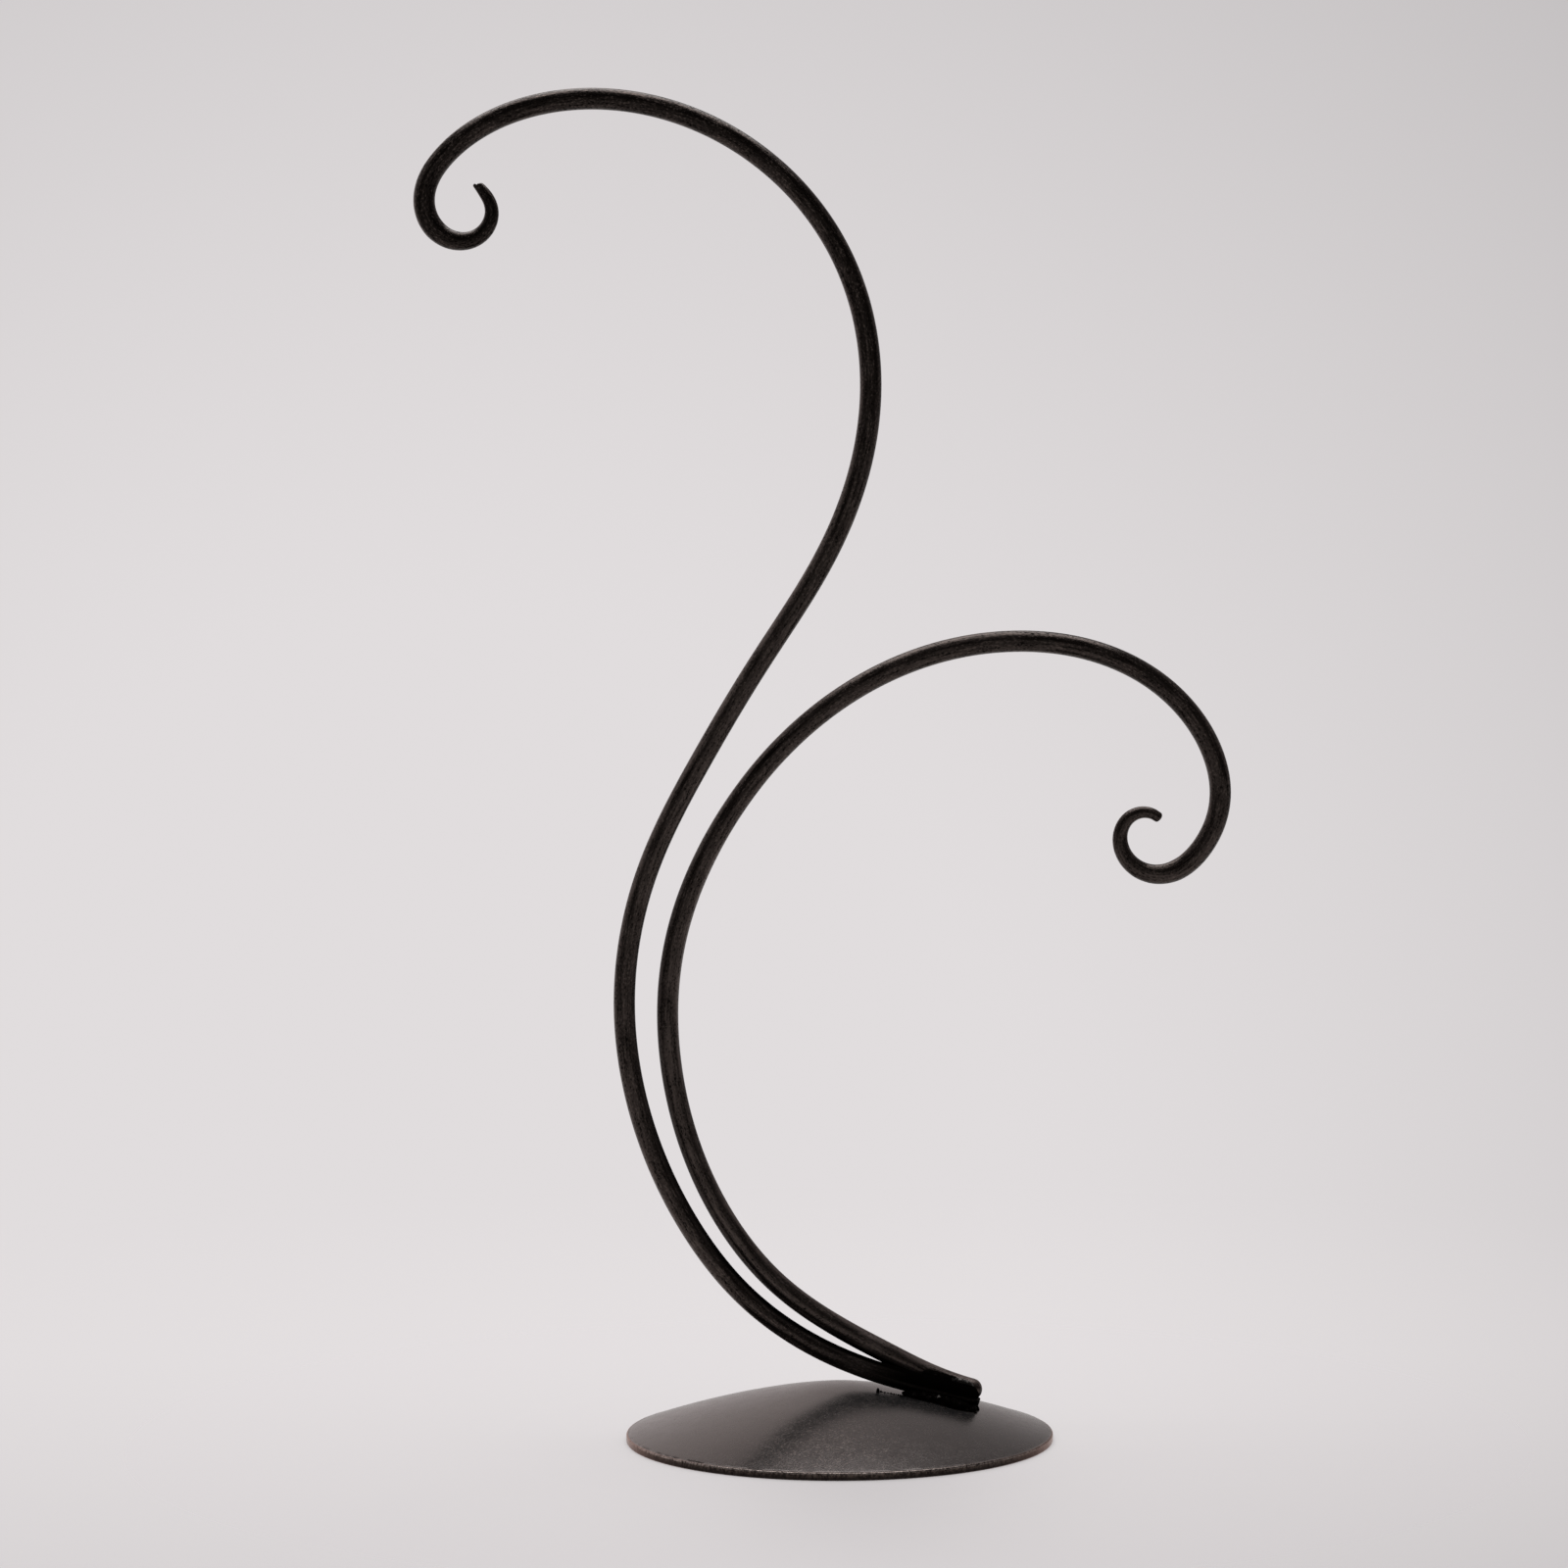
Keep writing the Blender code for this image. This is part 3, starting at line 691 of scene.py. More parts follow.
def build_dish(dome):
    """The dish, with the attributes that its finish reads."""
    section = dish_section(dome)
    radius, height, wear, dark = np.repeat(section.T[..., None], DISH_SEGMENTS, axis=2)
    t = np.repeat((np.arange(DISH_SEGMENTS) * 2 * math.pi / DISH_SEGMENTS)[None], len(section), axis=0)
    top_face = np.arange(len(section))[:, None] < TOP_ROWS + BESIDE_RIM_ROWS
    chip_start, chip_full = (DISH_RADIUS - inset for inset in CHIPPED_BAND)
    chipped = smooth(chip_start, chip_full, radius) * top_face

    inside = smooth(DISH_RADIUS, DISH_RADIUS - DISH_WAVE_INSET, radius)
    height = np.maximum(height + DISH_WAVE * sheet_wave(radius * np.cos(t), radius * np.sin(t)) * inside, 0)
    on_top = height > SHEET * ON_TOP_SHARE

    # A fine burr stands along the upper edge of the rim, more in some places than others
    burr = hump(DISH_RADIUS - BURR_INSET, BURR_WIDTH, radius) * on_top
    wide, narrow = (np.sin(n * t + phase) for n, phase in BURR_BREAKS)
    broken = 0.5 + 0.5 * wide * narrow
    jagged = sum(np.sin(n * t + n * n) for n in BURR_JAGS) / len(BURR_JAGS)
    height = height + BURR_HEIGHT * burr * np.clip(broken + BURR_JAG_SHARE * jagged, 0, BURR_MOST_SHARE)

    # Nicks lie just inside it, most of them in front on the left
    ring = hump(DISH_RADIUS - NICK_INSET, NICK_WIDTH, radius) * on_top
    nicked = sum(np.sin(n * t + n * n) for n in NICK_JAGS) / len(NICK_JAGS)
    left = hump(NICK_TURN, NICK_SPREAD, t)
    nicks = ring * (NICKS_ELSEWHERE + (1 - NICKS_ELSEWHERE) * left) * smooth(*NICK_FROM, nicked)
    height = height - NICK_DEPTH * nicks
    chipped = np.maximum(chipped, NICK_CHIPS * nicks)
    wear = wear * (WEAR_ELSEWHERE + (1 - WEAR_ELSEWHERE) * left)

    edge = smooth(DISH_RADIUS - RAGGED_BAND, DISH_RADIUS, radius)
    ragged = sum(np.sin(n * t + 2 * n) for n in RAGGED_JAGS) / len(RAGGED_JAGS)
    radius = radius - edge * RAGGED_DEPTH * (1 + ragged)

    # The section's first and last rows lie on the axis, so one point each stands for them
    rings = len(section) - 2
    x, y = radius * np.cos(t), radius * np.sin(t)
    verts = np.stack([AXIS_X + x, y, height], axis=-1)[1:-1].reshape(-1, 3)
    faces = [(a, d, c, b) for a, b, c, d in ring_quads(0, rings, DISH_SEGMENTS)]
    top, under = len(verts), len(verts) + 1
    verts = np.vstack([verts, (AXIS_X, 0, height[0, 0]), (AXIS_X, 0, height[-1, 0])])
    last = (rings - 1) * DISH_SEGMENTS
    for j in range(DISH_SEGMENTS):
        faces.append((top, j, (j + 1) % DISH_SEGMENTS))
        faces.append((under, last + (j + 1) % DISH_SEGMENTS, last + j))
    made = mesh_object("dish_surface", verts, faces)
    for name, values in (("wear", wear), ("edge_dark_and_painted_shade", dark), ("chipped", chipped)):
        set_attribute(made, name, np.concatenate([values[1:-1].ravel(), [0, 0]]))
    return made


# Materials

class Nodes:
    """A node tree, with short calls for the nodes that the finishes and the surround use."""

    def __init__(self, tree):
        self.tree = tree

    def join(self, value, socket):
        """Links another node's output, or sets a plain value."""
        if isinstance(value, bpy.types.NodeSocket):
            self.tree.links.new(value, socket)
        else:
            socket.default_value = value

    def node(self, kind, inputs=None, **settings):
        made = self.tree.nodes.new(kind)
        for key, value in settings.items():
            setattr(made, key, value)
        for key, value in (inputs or {}).items():
            self.join(value, made.inputs[key])
        return made

    def maths(self, operation, *values):
        return self.node("ShaderNodeMath", dict(enumerate(values)), operation=operation).outputs["Value"]

    def plus(self, a, b):
        return self.maths("ADD", a, b)

    def minus(self, a, b):
        return self.maths("SUBTRACT", a, b)

    def times(self, a, b):
        return self.maths("MULTIPLY", a, b)

    def vector_maths(self, operation, *values):
        made = self.node("ShaderNodeVectorMath", dict(enumerate(values)), operation=operation)
        return made.outputs["Value"]

    def steps(self, value, low, high, to_low=0.0, to_high=1.0, **settings):
        """Evenly from one result at the first value to another at the second, and no further."""
        inputs = {"Value": value, "From Min": low, "From Max": high, "To Min": to_low, "To Max": to_high}
        return self.node("ShaderNodeMapRange", inputs, clamp=True, **settings).outputs["Result"]

    def fade(self, value, low, high):
        """Smoothly from 0 at the first value to 1 at the second."""
        return self.steps(value, low, high, interpolation_type="SMOOTHSTEP")

    def mixed(self, share, a, b):
        """The first colour where the share is 0, and the second where it is 1."""
        made = self.node("ShaderNodeMix", data_type="RGBA")
        sockets = {socket.identifier: socket for socket in made.inputs}
        self.join(share, sockets["Factor_Float"])
        for key, colour in (("A_Color", a), ("B_Color", b)):
            self.join((*colour, 1) if isinstance(colour, tuple) else colour, sockets[key])
        return next(socket for socket in made.outputs if socket.identifier == "Result_Color")

    def split(self, place):
        """The x, y and z of a place or direction."""
        return tuple(self.node("ShaderNodeSeparateXYZ", {"Vector": place}).outputs)


class Finish(Nodes):
    """A material and its nodes."""

    def __init__(self, name, shader_values=None):
        self.material = bpy.data.materials.new(name)
        self.material.use_nodes = True
        super().__init__(self.material.node_tree)
        self.shader = self.tree.nodes["Principled BSDF"]
        for key, value in (shader_values or {}).items():
            self.shader.inputs[key].default_value = value

    def attribute(self, name, output="Fac"):
        made = self.node("ShaderNodeAttribute", attribute_name=name, attribute_type="GEOMETRY")
        return made.outputs[output]

    def object_place(self):
        return self.node("ShaderNodeTexCoord").outputs["Object"]

    def noise(self, place, per_mm, detail, roughness, distortion=0.0):
        """Noise with so many repeats a millimetre each way."""
        scale = tuple(v / MM for v in per_mm)
        place = self.node("ShaderNodeMapping", {"Vector": place, "Scale": scale}).outputs["Vector"]
        inputs = {"Vector": place, "Scale": 1.0, "Detail": detail,
                  "Roughness": roughness, "Distortion": distortion}
        return self.node("ShaderNodeTexNoise", inputs).outputs["Fac"]

    def bump(self, height, distance, strength, under=None):
        inputs = {"Height": height, "Distance": distance, "Strength": strength}
        if under is not None:
            inputs["Normal"] = under
        return self.node("ShaderNodeBump", inputs).outputs["Normal"]

    def either(self, share, a, b):
        """The first shader where the share is 0, and the second where it is 1."""
        return self.node("ShaderNodeMixShader", {0: share, 1: a, 2: b}).outputs["Shader"]

    def finish(self, colour, roughness, normal, metallic):
        """The material, with these on its shader."""
        ends = (("Base Color", colour), ("Roughness", roughness), ("Normal", normal), ("Metallic", metallic))
        for key, value in ends:
            self.join(value, self.shader.inputs[key])
        return self.material


# The bars' finish: each noise's repeats a millimetre, along and across the bar, and what comes of it.
# "From" pairs are values between which a thing comes up. Bumps are (metres, strength)

BAR_BLOTCH = (0.11, 0.22, 0.22)
BAR_DRAWN = (0.12, 1.6, 1.6)
BAR_GRAIN = (1.60, 3.0, 3.0)
BAR_TONE_FROM = (0.30, 0.70)
BLOTCH_TONE = 0.25
DRAWN_TONE = 0.45
DRAWN_SHARE = 0.55
FLECK_FROM = (0.56, 0.72)
FLECK_DULL = 0.40
PIT_FROM = (0.45, 0.33)
PIT_SHARE = 0.85
BAR_SHEEN = (0.0240, 0.0191, 0.0174)
BLOOM_SHEEN = (0.0530, 0.0425, 0.0386)
BLOOM_DULL = 0.16
# reached by the brightest random tone and by the painted reflection along one side
BRIGHT_TONE_AND_PAINTED_SHEEN = (0.115, 0.093, 0.086)
FLECK_SHEEN = (0.098, 0.078, 0.070)
# black of the pits, of weld soot, and of painted shade in the fork and where the bars face each other
BAR_BLACK_FOR_PITS_SOOT_AND_PAINTED_SHADE = (0.0008, 0.0006, 0.0005)
BAR_ROUGH_FROM = (0.7, 1.3)
BAR_ROUGHNESS = (0.22, 0.36)
BAR_GRAIN_BUMP = (0.000040, 0.60)
BAR_DRAWN_BUMP = (0.000060, 0.50)


def bar_finish():
    """Blackened iron: dark metal, brown-flecked and black-pitted along the bar; black where it is sooty from
    the welds or has painted shade, and with a painted reflection along one side.
    """
    f = Finish("bar_black_iron", {"Specular IOR Level": 0.0})
    place = f.attribute("straight_bar", "Vector")
    # weld soot together with painted shade
    soot_and_painted_shade = f.attribute("soot_and_painted_shade")
    # the brown bloom, with the painted reflection along one side in it
    bloom = f.attribute("bloom")
    blotch = f.noise(place, BAR_BLOTCH, detail=3, roughness=0.6)
    drawn = f.noise(place, BAR_DRAWN, detail=3, roughness=0.6)
    grain = f.noise(place, BAR_GRAIN, detail=2, roughness=0.6)
    lined = f.plus(grain, f.times(f.minus(drawn, 0.5), DRAWN_SHARE))
    fleck = f.steps(lined, *FLECK_FROM)
    pit = f.steps(lined, *PIT_FROM, 0.0, PIT_SHARE)
    brown = f.plus(bloom, f.steps(blotch, *BAR_TONE_FROM, -BLOTCH_TONE, BLOTCH_TONE))
    brown = f.plus(brown, f.steps(drawn, *BAR_TONE_FROM, -DRAWN_TONE, DRAWN_TONE))
    # black where there are pits, weld soot or painted shade
    dark = f.maths("MAXIMUM", pit, soot_and_painted_shade)
    colour = f.mixed(f.steps(brown, 0.0, 1.0), BAR_SHEEN, BLOOM_SHEEN)
    # the painted reflection along one side, and the brightest random tone
    colour = f.mixed(f.steps(brown, 1.0, 2.0), colour, BRIGHT_TONE_AND_PAINTED_SHEEN)
    colour = f.mixed(fleck, colour, FLECK_SHEEN)
    colour = f.mixed(dark, colour, BAR_BLACK_FOR_PITS_SOOT_AND_PAINTED_SHADE)
    dull = f.plus(f.steps(brown, 0.0, 1.0, 0.0, BLOOM_DULL), f.times(fleck, FLECK_DULL))
    metal = f.times(f.minus(1.0, dark), f.minus(1.0, dull))
    rough = f.steps(f.plus(blotch, drawn), *BAR_ROUGH_FROM, *BAR_ROUGHNESS)
    normal = f.bump(grain, *BAR_GRAIN_BUMP)
    normal = f.bump(drawn, *BAR_DRAWN_BUMP, normal)
    return f.finish(colour, rough, normal, metal)


# The dish's finish, in the same terms

DISH_IOR = 1.48
DISH_TINT = (1.0, 0.79, 0.74, 1.0)
DISH_MOTTLE = (0.07,) * 3
DISH_PATCH = (0.35,) * 3
DISH_GRAIN = (1.7,) * 3
DISH_FINE = (4.4,) * 3
RIM_STREAK = (1.3, 1.3, 0.7)
DISH_TONES = ((0.0040, 0.0045, 0.0048), (0.0085, 0.0086, 0.0088))
DISH_TONES_FROM = (0.35, 0.65)
PATCH_TONE = (0.0130, 0.0124, 0.0120)
PATCH_FROM = (0.42, 0.70)
PATCH_MOST = 0.6
# bright flecks of the grain, and painted glints where they gather in front
DISH_FLECK_AND_PAINTED_GLINT = (0.084, 0.067, 0.060)
DISH_FLECK_FROM = (0.52, 0.68)
FLECKS_AND_PAINTED_GLINTS_MIDDLE = (0.0, -0.042, 0.006)    # painted glints: the flecks show most here, in front, and least beyond the reach
FLECKS_AND_PAINTED_GLINTS_REACH = (0.006, 0.023)
FLECKS_AND_PAINTED_GLINTS_LEAST = 0.20
DISH_CHIP = (0.0030, 0.0022, 0.0019)
CHIP_FROM = (0.36, 0.28)
CHIPPED_MORE = -0.12
RIM_BROWN = ((0.0100, 0.0076, 0.0064), (0.072, 0.055, 0.046))
RIM_BROWN_FROM = (0.40, 0.64)
RIM_SPOTS = 1.1
# black at the foot of the rim, partly painted shade where it meets the floor
RIM_BLACK_AND_PAINTED_SHADE = (0.0012, 0.0006, 0.0005)
RIM_BLACK_AND_PAINTED_SHADE_FROM = (0.20, 0.90)
RIM_BAND_FROM = (0.0, 0.15)
RIM_METAL = 0.80
RIM_WORN = (0.30, 0.258, 0.240)
RIM_WORN_FROM = (0.34, 0.62)
WORN_METAL = 0.75
DISH_ROUGH_FROM = (0.75, 1.25)
DISH_ROUGHNESS = (0.22, 0.29)
DISH_GRAIN_BUMP = (0.000035, 0.11)
DISH_FINE_BUMP = (0.000018, 0.14)


def dish_finish():
    """Browned steel under wax: flecked grain with painted glints in front, soft mottling, and a sheared rim,
    chipped and worn, darkening downwards partly with painted shade.
    """
    f = Finish("dish_browned_steel", {"IOR": DISH_IOR, "Specular Tint": DISH_TINT})
    place = f.object_place()
    mottle = f.noise(place, DISH_MOTTLE, detail=4, roughness=0.6, distortion=0.4)
    patch = f.noise(place, DISH_PATCH, detail=3, roughness=0.6)
    grain = f.noise(place, DISH_GRAIN, detail=2, roughness=0.6, distortion=0.6)
    fine = f.noise(place, DISH_FINE, detail=2, roughness=0.6)
    colour = f.mixed(f.steps(mottle, *DISH_TONES_FROM), *DISH_TONES)
    colour = f.mixed(f.steps(patch, *PATCH_FROM, 0.0, PATCH_MOST), colour, PATCH_TONE)
    # the flecks gather in front as painted glints, where light would glint on the grain
    off = f.vector_maths("DISTANCE", place, FLECKS_AND_PAINTED_GLINTS_MIDDLE)
    flecks_and_painted_glints = f.times(f.steps(grain, *DISH_FLECK_FROM), f.steps(off, *FLECKS_AND_PAINTED_GLINTS_REACH, 1.0, FLECKS_AND_PAINTED_GLINTS_LEAST))
    colour = f.mixed(flecks_and_painted_glints, colour, DISH_FLECK_AND_PAINTED_GLINT)
    chips = f.steps(f.plus(grain, f.times(f.attribute("chipped"), CHIPPED_MORE)), *CHIP_FROM)
    colour = f.mixed(chips, colour, DISH_CHIP)

    streak = f.noise(place, RIM_STREAK, detail=3, roughness=0.7, distortion=0.8)
    # the rim darkens downwards, partly with painted shade towards the floor
    dark = f.attribute("edge_dark_and_painted_shade")
    spots = f.plus(streak, f.times(f.minus(grain, 0.5), RIM_SPOTS))
    brown = f.mixed(f.steps(spots, *RIM_BROWN_FROM), *RIM_BROWN)
    brown = f.mixed(f.steps(dark, *RIM_BLACK_AND_PAINTED_SHADE_FROM), brown, RIM_BLACK_AND_PAINTED_SHADE)
    band = f.steps(dark, *RIM_BAND_FROM)
    colour = f.mixed(band, colour, brown)
    worn = f.times(f.attribute("wear"), f.steps(streak, *RIM_WORN_FROM))
    colour = f.mixed(worn, colour, RIM_WORN)

    rough = f.steps(f.plus(grain, patch), *DISH_ROUGH_FROM, *DISH_ROUGHNESS)
    normal = f.bump(grain, *DISH_GRAIN_BUMP)
    normal = f.bump(fine, *DISH_FINE_BUMP, normal)
    metal = f.maths("MAXIMUM", f.times(worn, WORN_METAL), f.times(band, RIM_METAL))
    return f.finish(colour, rough, normal, metal)


# The welds' finish, in the same terms

WELD_SCALE = (0.9,) * 3
WELD_GRAIN = (4.0,) * 3
# black of weld soot and painted shade
WELD_SOOT_AND_PAINTED_SHADE = ((0.0010, 0.0008, 0.0007), (0.0030, 0.0023, 0.0020))
WELD_SOOT_AND_PAINTED_SHADE_FROM = (0.40, 0.66)
WELD_SHEEN = (0.046, 0.042, 0.040)
WELD_BARE_FROM = (0.66, 0.74)
WELD_POLISH_SHARE = 0.35
WELD_ROUGH_FROM = (0.35, 0.70)
WELD_ROUGHNESS = (0.20, 0.38)
WELD_GRAIN_BUMP = (0.000030, 0.5)
WELD_SCALE_BUMP = (0.000080, 0.6)


def weld_finish():
    """Weld metal, black under sooty scale and painted shade, reflecting almost nothing but in bare and glossy
    spots where its "polish" attribute allows.
    """
    f = Finish("weld_black_bead", {"Specular IOR Level": 0.0})
    place = f.object_place()
    polish = f.attribute("polish")
    scale = f.noise(place, WELD_SCALE, detail=3, roughness=0.65)
    grain = f.noise(place, WELD_GRAIN, detail=2, roughness=0.7)
    # black with weld soot and painted shade, the bead reflecting nothing outside its bare spots
    colour = f.mixed(f.steps(scale, *WELD_SOOT_AND_PAINTED_SHADE_FROM), *WELD_SOOT_AND_PAINTED_SHADE)
    bare = f.steps(f.plus(scale, f.times(polish, WELD_POLISH_SHARE)), *WELD_BARE_FROM)
    colour = f.mixed(bare, colour, WELD_SHEEN)
    rough = f.steps(scale, *WELD_ROUGH_FROM, *WELD_ROUGHNESS)
    normal = f.bump(grain, *WELD_GRAIN_BUMP)
    normal = f.bump(scale, *WELD_SCALE_BUMP, normal)
    return f.finish(colour, rough, normal, bare)


# The stand

def dress(made, finish, node):
    """Gives a piece its finish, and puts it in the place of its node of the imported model."""
    made.data.materials.append(finish)
    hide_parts(node)
    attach(made, "root")


dome = Dome()
tall = Bar(dome, TALL, TALL_TURN_SHARES)
short = Bar(dome, SHORT, SHORT_TURN_SHARES)

iron = bar_finish()
weld = weld_finish()
dish = build_dish(dome)
dress(dish, dish_finish(), "base_dish")
tall_bar = build_bar("tall_arm_bar", tall, -BAR_PLANE, TALL_LOOKS)
dress(tall_bar, iron, "tall_arm")
short_bar = build_bar("short_arm_bar", short, BAR_PLANE, SHORT_LOOKS)
dress(short_bar, iron, "short_arm")

front_bead = foot_bead("foot_weld_front_bead", dome, tall, -1, FRONT_BEAD, FRONT_POLISH, FRONT_SEED)
dress(front_bead, weld, "foot_weld_front")
rear_bead = foot_bead("foot_weld_rear_bead", dome, short, 1, REAR_BEAD, REAR_POLISH, REAR_SEED)
dress(rear_bead, weld, "foot_weld_rear")
dress(seam_bead("arm_seam_weld_bead", tall, short), weld, "arm_seam_weld")

drops = spatter("weld_spatter", dome, (*DROPS, *crumbs()))
drops.data.materials.append(weld)
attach(drops, "root")


# The photograph's view

VIEW_TARGET = Vector((AXIS_X - 0.01262, 0, 0.15682))
VIEW_DISTANCE = 1.55
VIEW_NEAREST = 0.05
VIEW_PITCH = math.radians(5.18)
VIEW_ROLL = math.radians(-0.23)
SENSOR_MM = 24.0
LENS_MM = 100.5

camera_data = bpy.data.cameras.new("camera")
camera_data.sensor_width = SENSOR_MM
camera_data.lens = LENS_MM
camera_data.clip_start = VIEW_NEAREST
camera = linked("camera", camera_data)
forward = Vector((0, math.cos(VIEW_PITCH), -math.sin(VIEW_PITCH)))
level_up = Vector((0, math.sin(VIEW_PITCH), math.cos(VIEW_PITCH)))
right = Vector((1, 0, 0)) * math.cos(VIEW_ROLL) + level_up * math.sin(VIEW_ROLL)
up = -Vector((1, 0, 0)) * math.sin(VIEW_ROLL) + level_up * math.cos(VIEW_ROLL)
turned = Matrix((right, up, -forward)).transposed().to_4x4()
camera.matrix_world = Matrix.Translation(VIEW_TARGET - forward * VIEW_DISTANCE) @ turned
bpy.context.scene.camera = camera


# Light: one broad panel overhead, in metres and watts

PANEL_PLACE = (-0.03, 0.24, 0.78)
PANEL_SIZE = (0.74, 0.60)
PANEL_POWER = 5.8

panel_data = bpy.data.lights.new("overhead_panel", "AREA")
panel_data.shape = "RECTANGLE"
panel_data.size, panel_data.size_y = PANEL_SIZE
panel_data.energy = PANEL_POWER
panel = linked("overhead_panel", panel_data)
panel.location = PANEL_PLACE


# The surround that the camera sees: linear colours, and the angles from its brightest place, in radians

SURROUND_LIGHT = (0.752, 0.722, 0.729)
SURROUND_DARK = (0.535, 0.513, 0.518)
BRIGHTEST_WAY = (-0.051, 1.0, -0.057)   # from the camera, before its pitch
DARKER_BETWEEN = (0.0825, 0.258)
DARKER_POWER = 1.36
LOWER_BETWEEN = (-0.1757, -0.2077)      # heights of a sight line between which it darkens more
LOWER_DARKENS = 0.25

# The surround that glossy rays see: linear colours, and the parts of a direction between which they change,
# x to the right, y backwards and z up
WALL = (0.79, 0.705, 0.700)
RIGHT_WALL = (0.37, 0.345, 0.34)
RIGHT_WALL_X = (-0.22, 0.36)
HIGH_WALL = (0.90, 0.79, 0.765)
HIGH_RIGHT_WALL = (0.31, 0.28, 0.275)
HIGH_RIGHT_WALL_X = (-0.10, 0.25)
HIGH_WALL_Z = (0.12, 0.55)
WALL_Y = (-0.30, 0.35)
WALL_TOP_Z = (0.80, 0.62)
FRONT = (0.055, 0.050, 0.048)
LOW_FRONT = (0.130, 0.122, 0.118)
LOW_FRONT_Z = (0.45, 0.0)
ROOM = (0.28, 0.27, 0.26)
ROOM_Y = (-0.80, -0.98)
ROOM_Z = (0.45, 0.10)
LEFT = (0.78, 0.75, 0.75)
LEFT_X = (-0.50, -0.95)
LEFT_Y = (-0.50, 0.0)
LEFT_Z = (-0.15, 0.40)
FILL = (0.41, 0.40, 0.40)     # what all other rays see


def seen_by_camera(n, way):
    """A pale sweep, brightest behind the stand and darker outwards and downwards."""
    brightest = Vector(BRIGHTEST_WAY)
    brightest.rotate(Matrix.Rotation(-VIEW_PITCH, 3, "X"))
    off = n.maths("ARCCOSINE", n.vector_maths("DOT_PRODUCT", way, tuple(brightest.normalized())))
    edge = n.maths("POWER", n.steps(off, *DARKER_BETWEEN), DARKER_POWER)
    _, _, z = n.split(way)
    edge = n.plus(edge, n.steps(z, *LOWER_BETWEEN, 0.0, LOWER_DARKENS))
    return n.mixed(edge, SURROUND_LIGHT, SURROUND_DARK)


def seen_by_gloss(n, way):
    """Lit walls behind and on the left, and a dim front with a faint room in it."""
    x, y, z = n.split(way)
    low = n.mixed(n.fade(x, *RIGHT_WALL_X), WALL, RIGHT_WALL)
    high = n.mixed(n.fade(x, *HIGH_RIGHT_WALL_X), HIGH_WALL, HIGH_RIGHT_WALL)
    wall = n.mixed(n.fade(z, *HIGH_WALL_Z), low, high)
    front = n.mixed(n.fade(z, *LOW_FRONT_Z), FRONT, LOW_FRONT)
    front = n.mixed(n.times(n.fade(y, *ROOM_Y), n.fade(z, *ROOM_Z)), front, ROOM)
    gloss = n.mixed(n.times(n.fade(y, *WALL_Y), n.fade(z, *WALL_TOP_Z)), front, wall)
    left = n.times(n.times(n.fade(x, *LEFT_X), n.fade(y, *LEFT_Y)), n.fade(z, *LEFT_Z))
    return n.mixed(left, gloss, LEFT)


def surround():
    """The world: what camera and transmitted rays see, what glossy rays see, and an even fill."""
    world = bpy.data.worlds.new("surround")
    bpy.context.scene.world = world
    world.use_nodes = True
    n = Nodes(world.node_tree)
    n.tree.nodes.clear()
    way = n.node("ShaderNodeTexCoord").outputs["Generated"]
    seen = seen_by_camera(n, way)
    ray = n.node("ShaderNodeLightPath")
    colour = n.mixed(ray.outputs["Is Glossy Ray"], FILL, seen_by_gloss(n, way))
    colour = n.mixed(ray.outputs["Is Transmission Ray"], colour, seen)
    colour = n.mixed(ray.outputs["Is Camera Ray"], colour, seen)
    light = n.node("ShaderNodeBackground", {"Color": colour, "Strength": 1.0})
    n.node("ShaderNodeOutputWorld", {"Surface": light.outputs["Background"]})


surround()


# The floor: clear but for a slight tint and the stand's soft shadow, both gone some way off

FLOOR_REACH = 3.0
FLOOR_COLOUR = (0.700, 0.672, 0.678)
SHADOW_SHARE = 0.45
SHADOW_FADE = (0.08, 0.40)    # distances from the middle between which it goes
FRONT_SHADE = 0.135           # how much light from behind is missing in front of the dish
FRONT_SHADE_X = 0.006         # the middle and half width of that shade
FRONT_SHADE_HALF = 0.033
FRONT_SHADE_END = -0.175      # how far forward it reaches
RIM_SHADE = 0.10              # the dark line where the rim meets the floor
RIM_SHADE_WIDTH = 0.003
FLOOR_SEEN_BY_GLOSS = (0.80, 0.77, 0.76)
GLOSS_MIDDLE = (0.0, 0.20, 0.0)
GLOSS_FADE = (0.15, 1.15)     # distances from there between which the mirrored floor darkens, to this
GLOSS_LEAST = 0.15


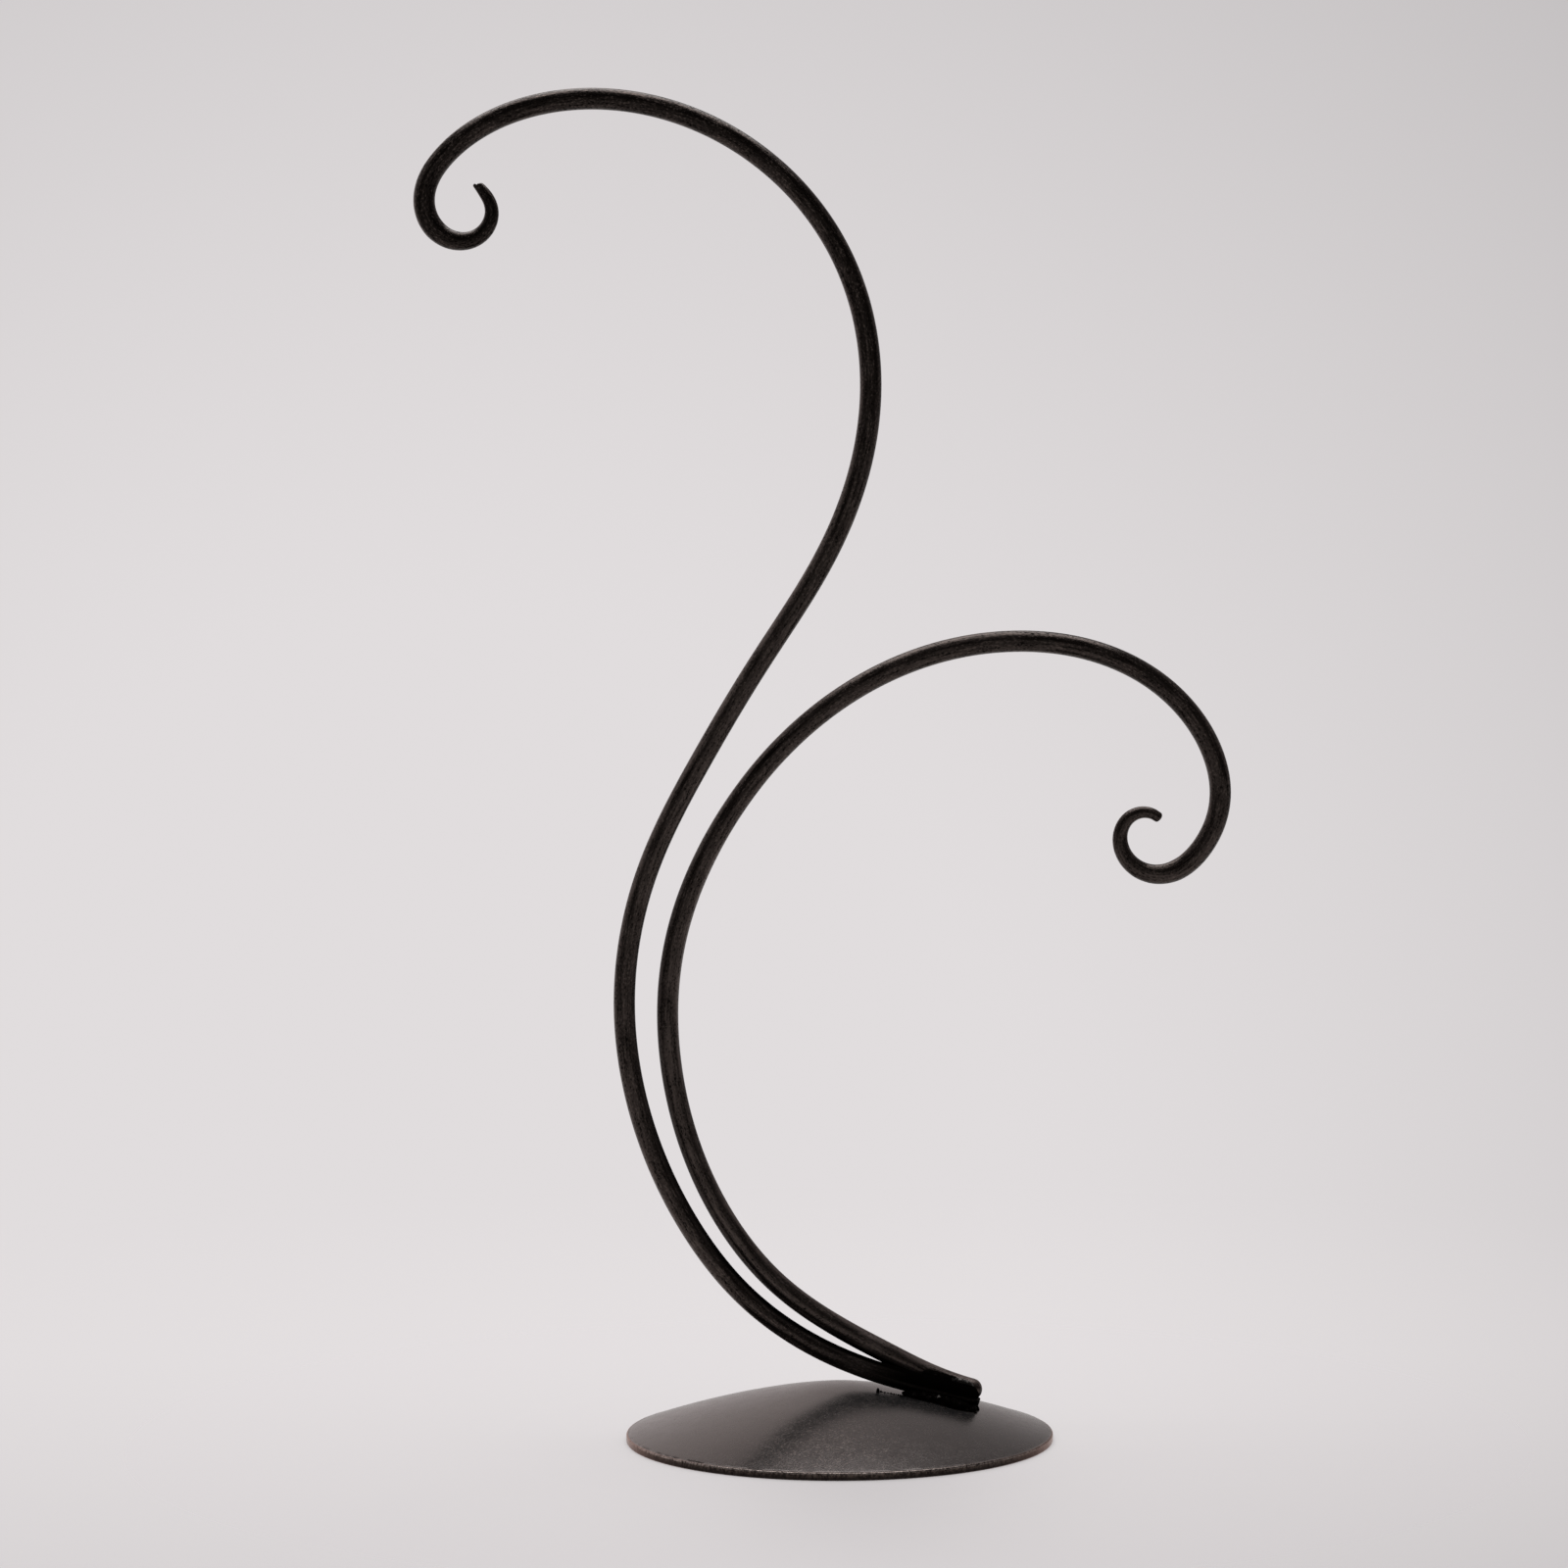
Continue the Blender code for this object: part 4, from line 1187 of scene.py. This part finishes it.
def floor_shade(f, place):
    """The share of light left out on the floor: in a soft lobe in front of the dish and close to its rim."""
    x, y, _ = f.split(place)
    aside = f.maths("DIVIDE", f.minus(x, AXIS_X + FRONT_SHADE_X), FRONT_SHADE_HALF)
    lobe = f.maths("EXPONENT", f.times(f.times(aside, aside), -1.0))
    ahead = f.steps(y, FRONT_SHADE_END, -DISH_RADIUS)
    ahead = f.times(ahead, f.steps(y, 0.0, -DISH_RADIUS / 2))
    front = f.times(f.times(lobe, ahead), FRONT_SHADE)
    off_axis = f.vector_maths("DISTANCE", place, (AXIS_X, 0, 0))
    rim = f.steps(off_axis, DISH_RADIUS + RIM_SHADE_WIDTH, DISH_RADIUS, 0.0, RIM_SHADE)
    rim = f.times(rim, f.steps(y, -DISH_RADIUS / 3, -DISH_RADIUS))
    return f.plus(front, rim)


def floor_finish():
    """Mostly clear, with a share of dull floor for the shadow, and a pale glow for glossy rays."""
    f = Finish("floor")
    f.tree.nodes.remove(f.shader)
    place = f.object_place()
    near = f.steps(f.vector_maths("LENGTH", place), *SHADOW_FADE, 1.0, 0.0)
    shade = floor_shade(f, place)
    clear = f.node("ShaderNodeBsdfTransparent", {"Color": f.mixed(shade, (1, 1, 1), (0, 0, 0))})
    dull = f.node("ShaderNodeBsdfDiffuse", {"Color": f.mixed(shade, FLOOR_COLOUR, (0, 0, 0))})
    seen = f.either(f.times(near, SHADOW_SHARE), clear.outputs["BSDF"], dull.outputs["BSDF"])
    plain = f.node("ShaderNodeBsdfTransparent", {"Color": (1, 1, 1, 1)})
    glow = f.node("ShaderNodeEmission", {"Color": (*FLOOR_SEEN_BY_GLOSS, 1), "Strength": 1.0})
    lit = f.steps(f.vector_maths("DISTANCE", place, GLOSS_MIDDLE), *GLOSS_FADE, 1.0, GLOSS_LEAST)
    mirrored = f.either(lit, plain.outputs["BSDF"], glow.outputs["Emission"])
    ray = f.node("ShaderNodeLightPath")
    out = next(node for node in f.tree.nodes if node.type == "OUTPUT_MATERIAL")
    f.join(f.either(ray.outputs["Is Glossy Ray"], seen, mirrored), out.inputs["Surface"])
    return f.material


floor_data = bpy.data.meshes.new("floor")
corners = [(x * FLOOR_REACH, y * FLOOR_REACH, 0) for x, y in ((-1, -1), (1, -1), (1, 1), (-1, 1))]
floor_data.from_pydata(corners, [], [(0, 1, 2, 3)])
floor = linked("floor", floor_data)
floor_data.materials.append(floor_finish())

bpy.context.scene.view_settings.view_transform = "Standard"
